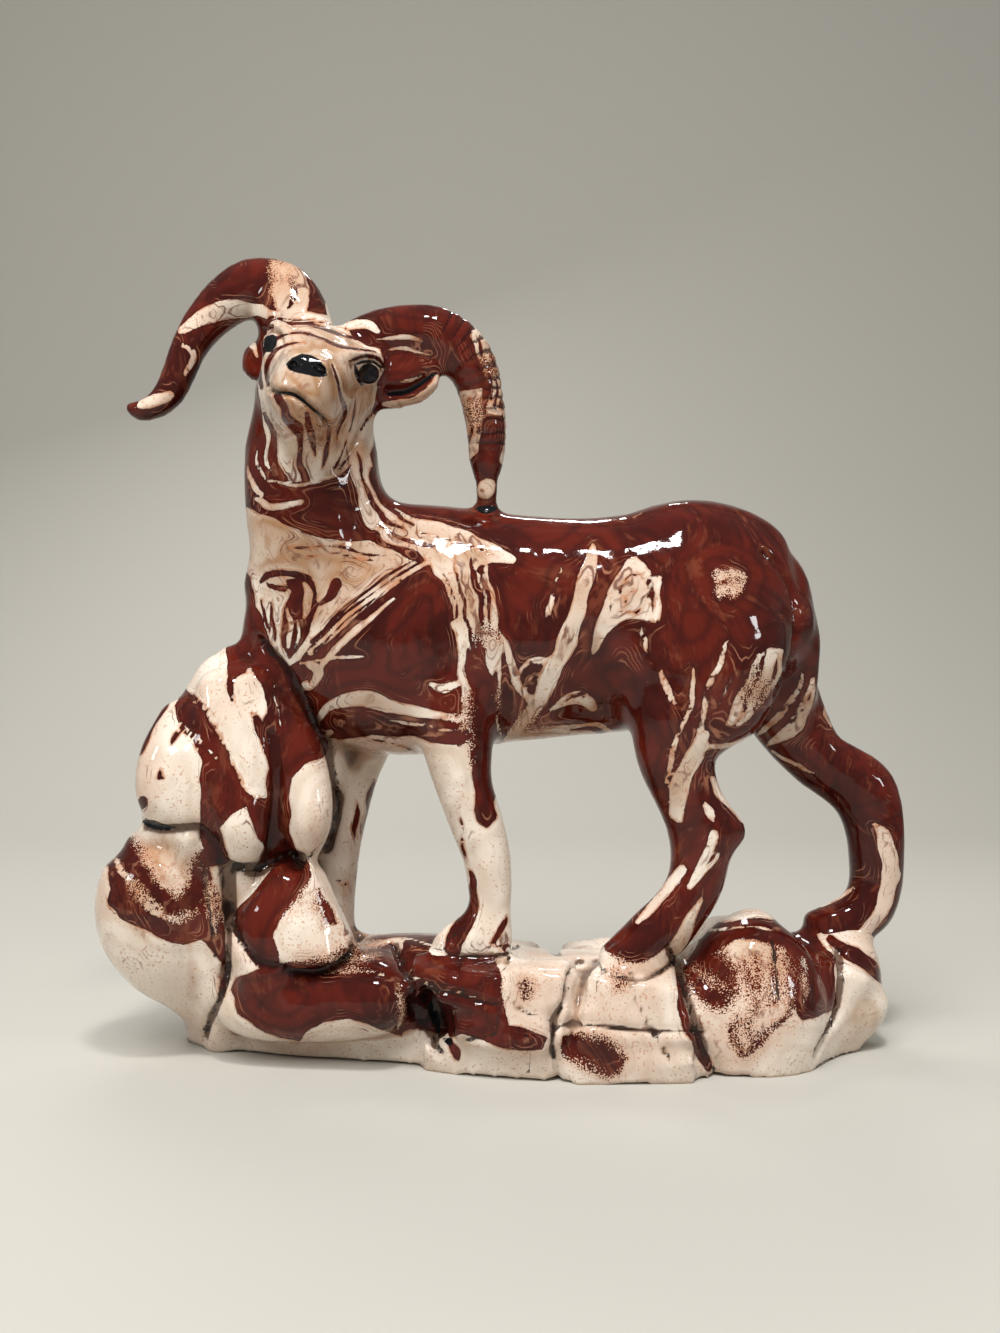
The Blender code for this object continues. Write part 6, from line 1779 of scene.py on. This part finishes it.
def sweep(front, back, bend, height, half_width):
    """A floor that bends up into a backdrop."""
    turn = np.linspace(0, np.pi / 2, 24)
    profile = [(front, 0.0)] + [(back - bend + bend * np.sin(t), bend - bend * np.cos(t)) for t in turn]
    profile.append((back, height))
    corners = [(x, y, z) for y, z in profile for x in (-half_width, half_width)]
    faces = [(2 * i, 2 * i + 1, 2 * i + 3, 2 * i + 2) for i in range(len(profile) - 1)]
    mesh = bpy.data.meshes.new("sweep")
    mesh.from_pydata(corners, [], faces)
    mesh.shade_smooth()
    board = bpy.data.objects.new("sweep", mesh)
    bpy.context.scene.collection.objects.link(board)
    return board


board = sweep(front=-3.0, back=1.1, bend=0.6, height=2.6, half_width=3.0)
sweep_material, paint = empty_material("sweep_paint")
paint_shader = paint.node("ShaderNodeBsdfPrincipled", {}, {"Base Color": SWEEP_COLOUR, "Roughness": 0.8})
sweep_tree = sweep_material.node_tree
sweep_tree.links.new(paint_shader.socket, sweep_tree.nodes["Material Output"].inputs["Surface"])
board.data.materials.append(sweep_material)
print("sweep laid")

# %% [markdown]
# Gloss shows the lamps themselves, so their size and place matter more than their number. A
# small lamp above and in front gives crisp glints along the back and the shoulders, and two
# small ones at the sides repeat them. The soft light comes from a broad lamp high in front that
# the gloss doesn't mirror, as when a studio lamp and its lens carry crossed polarisers. Behind,
# a soft lamp and a small one do the same for the back.

# %% Lamps
MIDDLE = Vector((0, 0, 0.12))


def lamp(name, place, size, watts, mirrored=True):
    """A square lamp turned to the middle of the figurine."""
    light = bpy.data.lights.new(name, "AREA")
    light.size = size
    light.energy = watts
    holder = bpy.data.objects.new(name, light)
    bpy.context.scene.collection.objects.link(holder)
    holder.location = place
    holder.visible_glossy = mirrored
    holder.rotation_euler = (MIDDLE - Vector(place)).to_track_quat("-Z", "Y").to_euler()
    return holder


lamp("top_lamp", (0.05, -0.40, 0.95), 0.13, 5.0)
lamp("soft_lamp", (-0.25, -0.70, 1.05), 0.8, 14.5, mirrored=False)
lamp("side_lamp", (0.85, -0.55, 0.45), 0.12, 1.2)
lamp("left_lamp", (-0.8, -0.5, 0.5), 0.14, 1.4)
lamp("back_lamp", (-0.3, 0.75, 0.8), 0.5, 4.0, mirrored=False)
lamp("rear_glint_lamp", (0.1, 0.6, 0.75), 0.10, 0.6)

world = bpy.data.worlds.new("studio")
world.use_nodes = True
world.node_tree.nodes["Background"].inputs["Color"].default_value = (0.90, 0.90, 0.88, 1)
world.node_tree.nodes["Background"].inputs["Strength"].default_value = 0.30
bpy.context.scene.world = world
print("six lamps and a soft surround")

# %% [markdown]
# The photograph was taken level with the figurine's middle, 42 cm in front of it, so the camera
# stands there and looks straight along +Y. Its lens is set from one measured scale: at that
# distance one millimetre of the middle plane covers 3.2 pixels of a picture 1000 pixels wide.

# %% Camera
PIXELS_PER_MM = 3.2
DISTANCE = 420
PICTURE_WIDTH = 1000
SENSOR = 36.0

camera = bpy.data.objects.new("camera", bpy.data.cameras.new("camera"))
bpy.context.scene.collection.objects.link(camera)
camera.location = (0, -0.42, 0.119)
camera.rotation_euler = (math.pi / 2, 0, 0)
camera.data.sensor_fit = "HORIZONTAL"
camera.data.sensor_width = SENSOR
camera.data.lens = SENSOR * PIXELS_PER_MM * DISTANCE / PICTURE_WIDTH
camera.data.clip_start = 0.01
bpy.context.scene.camera = camera
bpy.context.scene.view_settings.view_transform = "Standard"
print("lens", round(camera.data.lens, 2), "mm")

# %% The end
bpy.context.view_layer.update()
print("made in", round(time.time() - started, 1), "s")
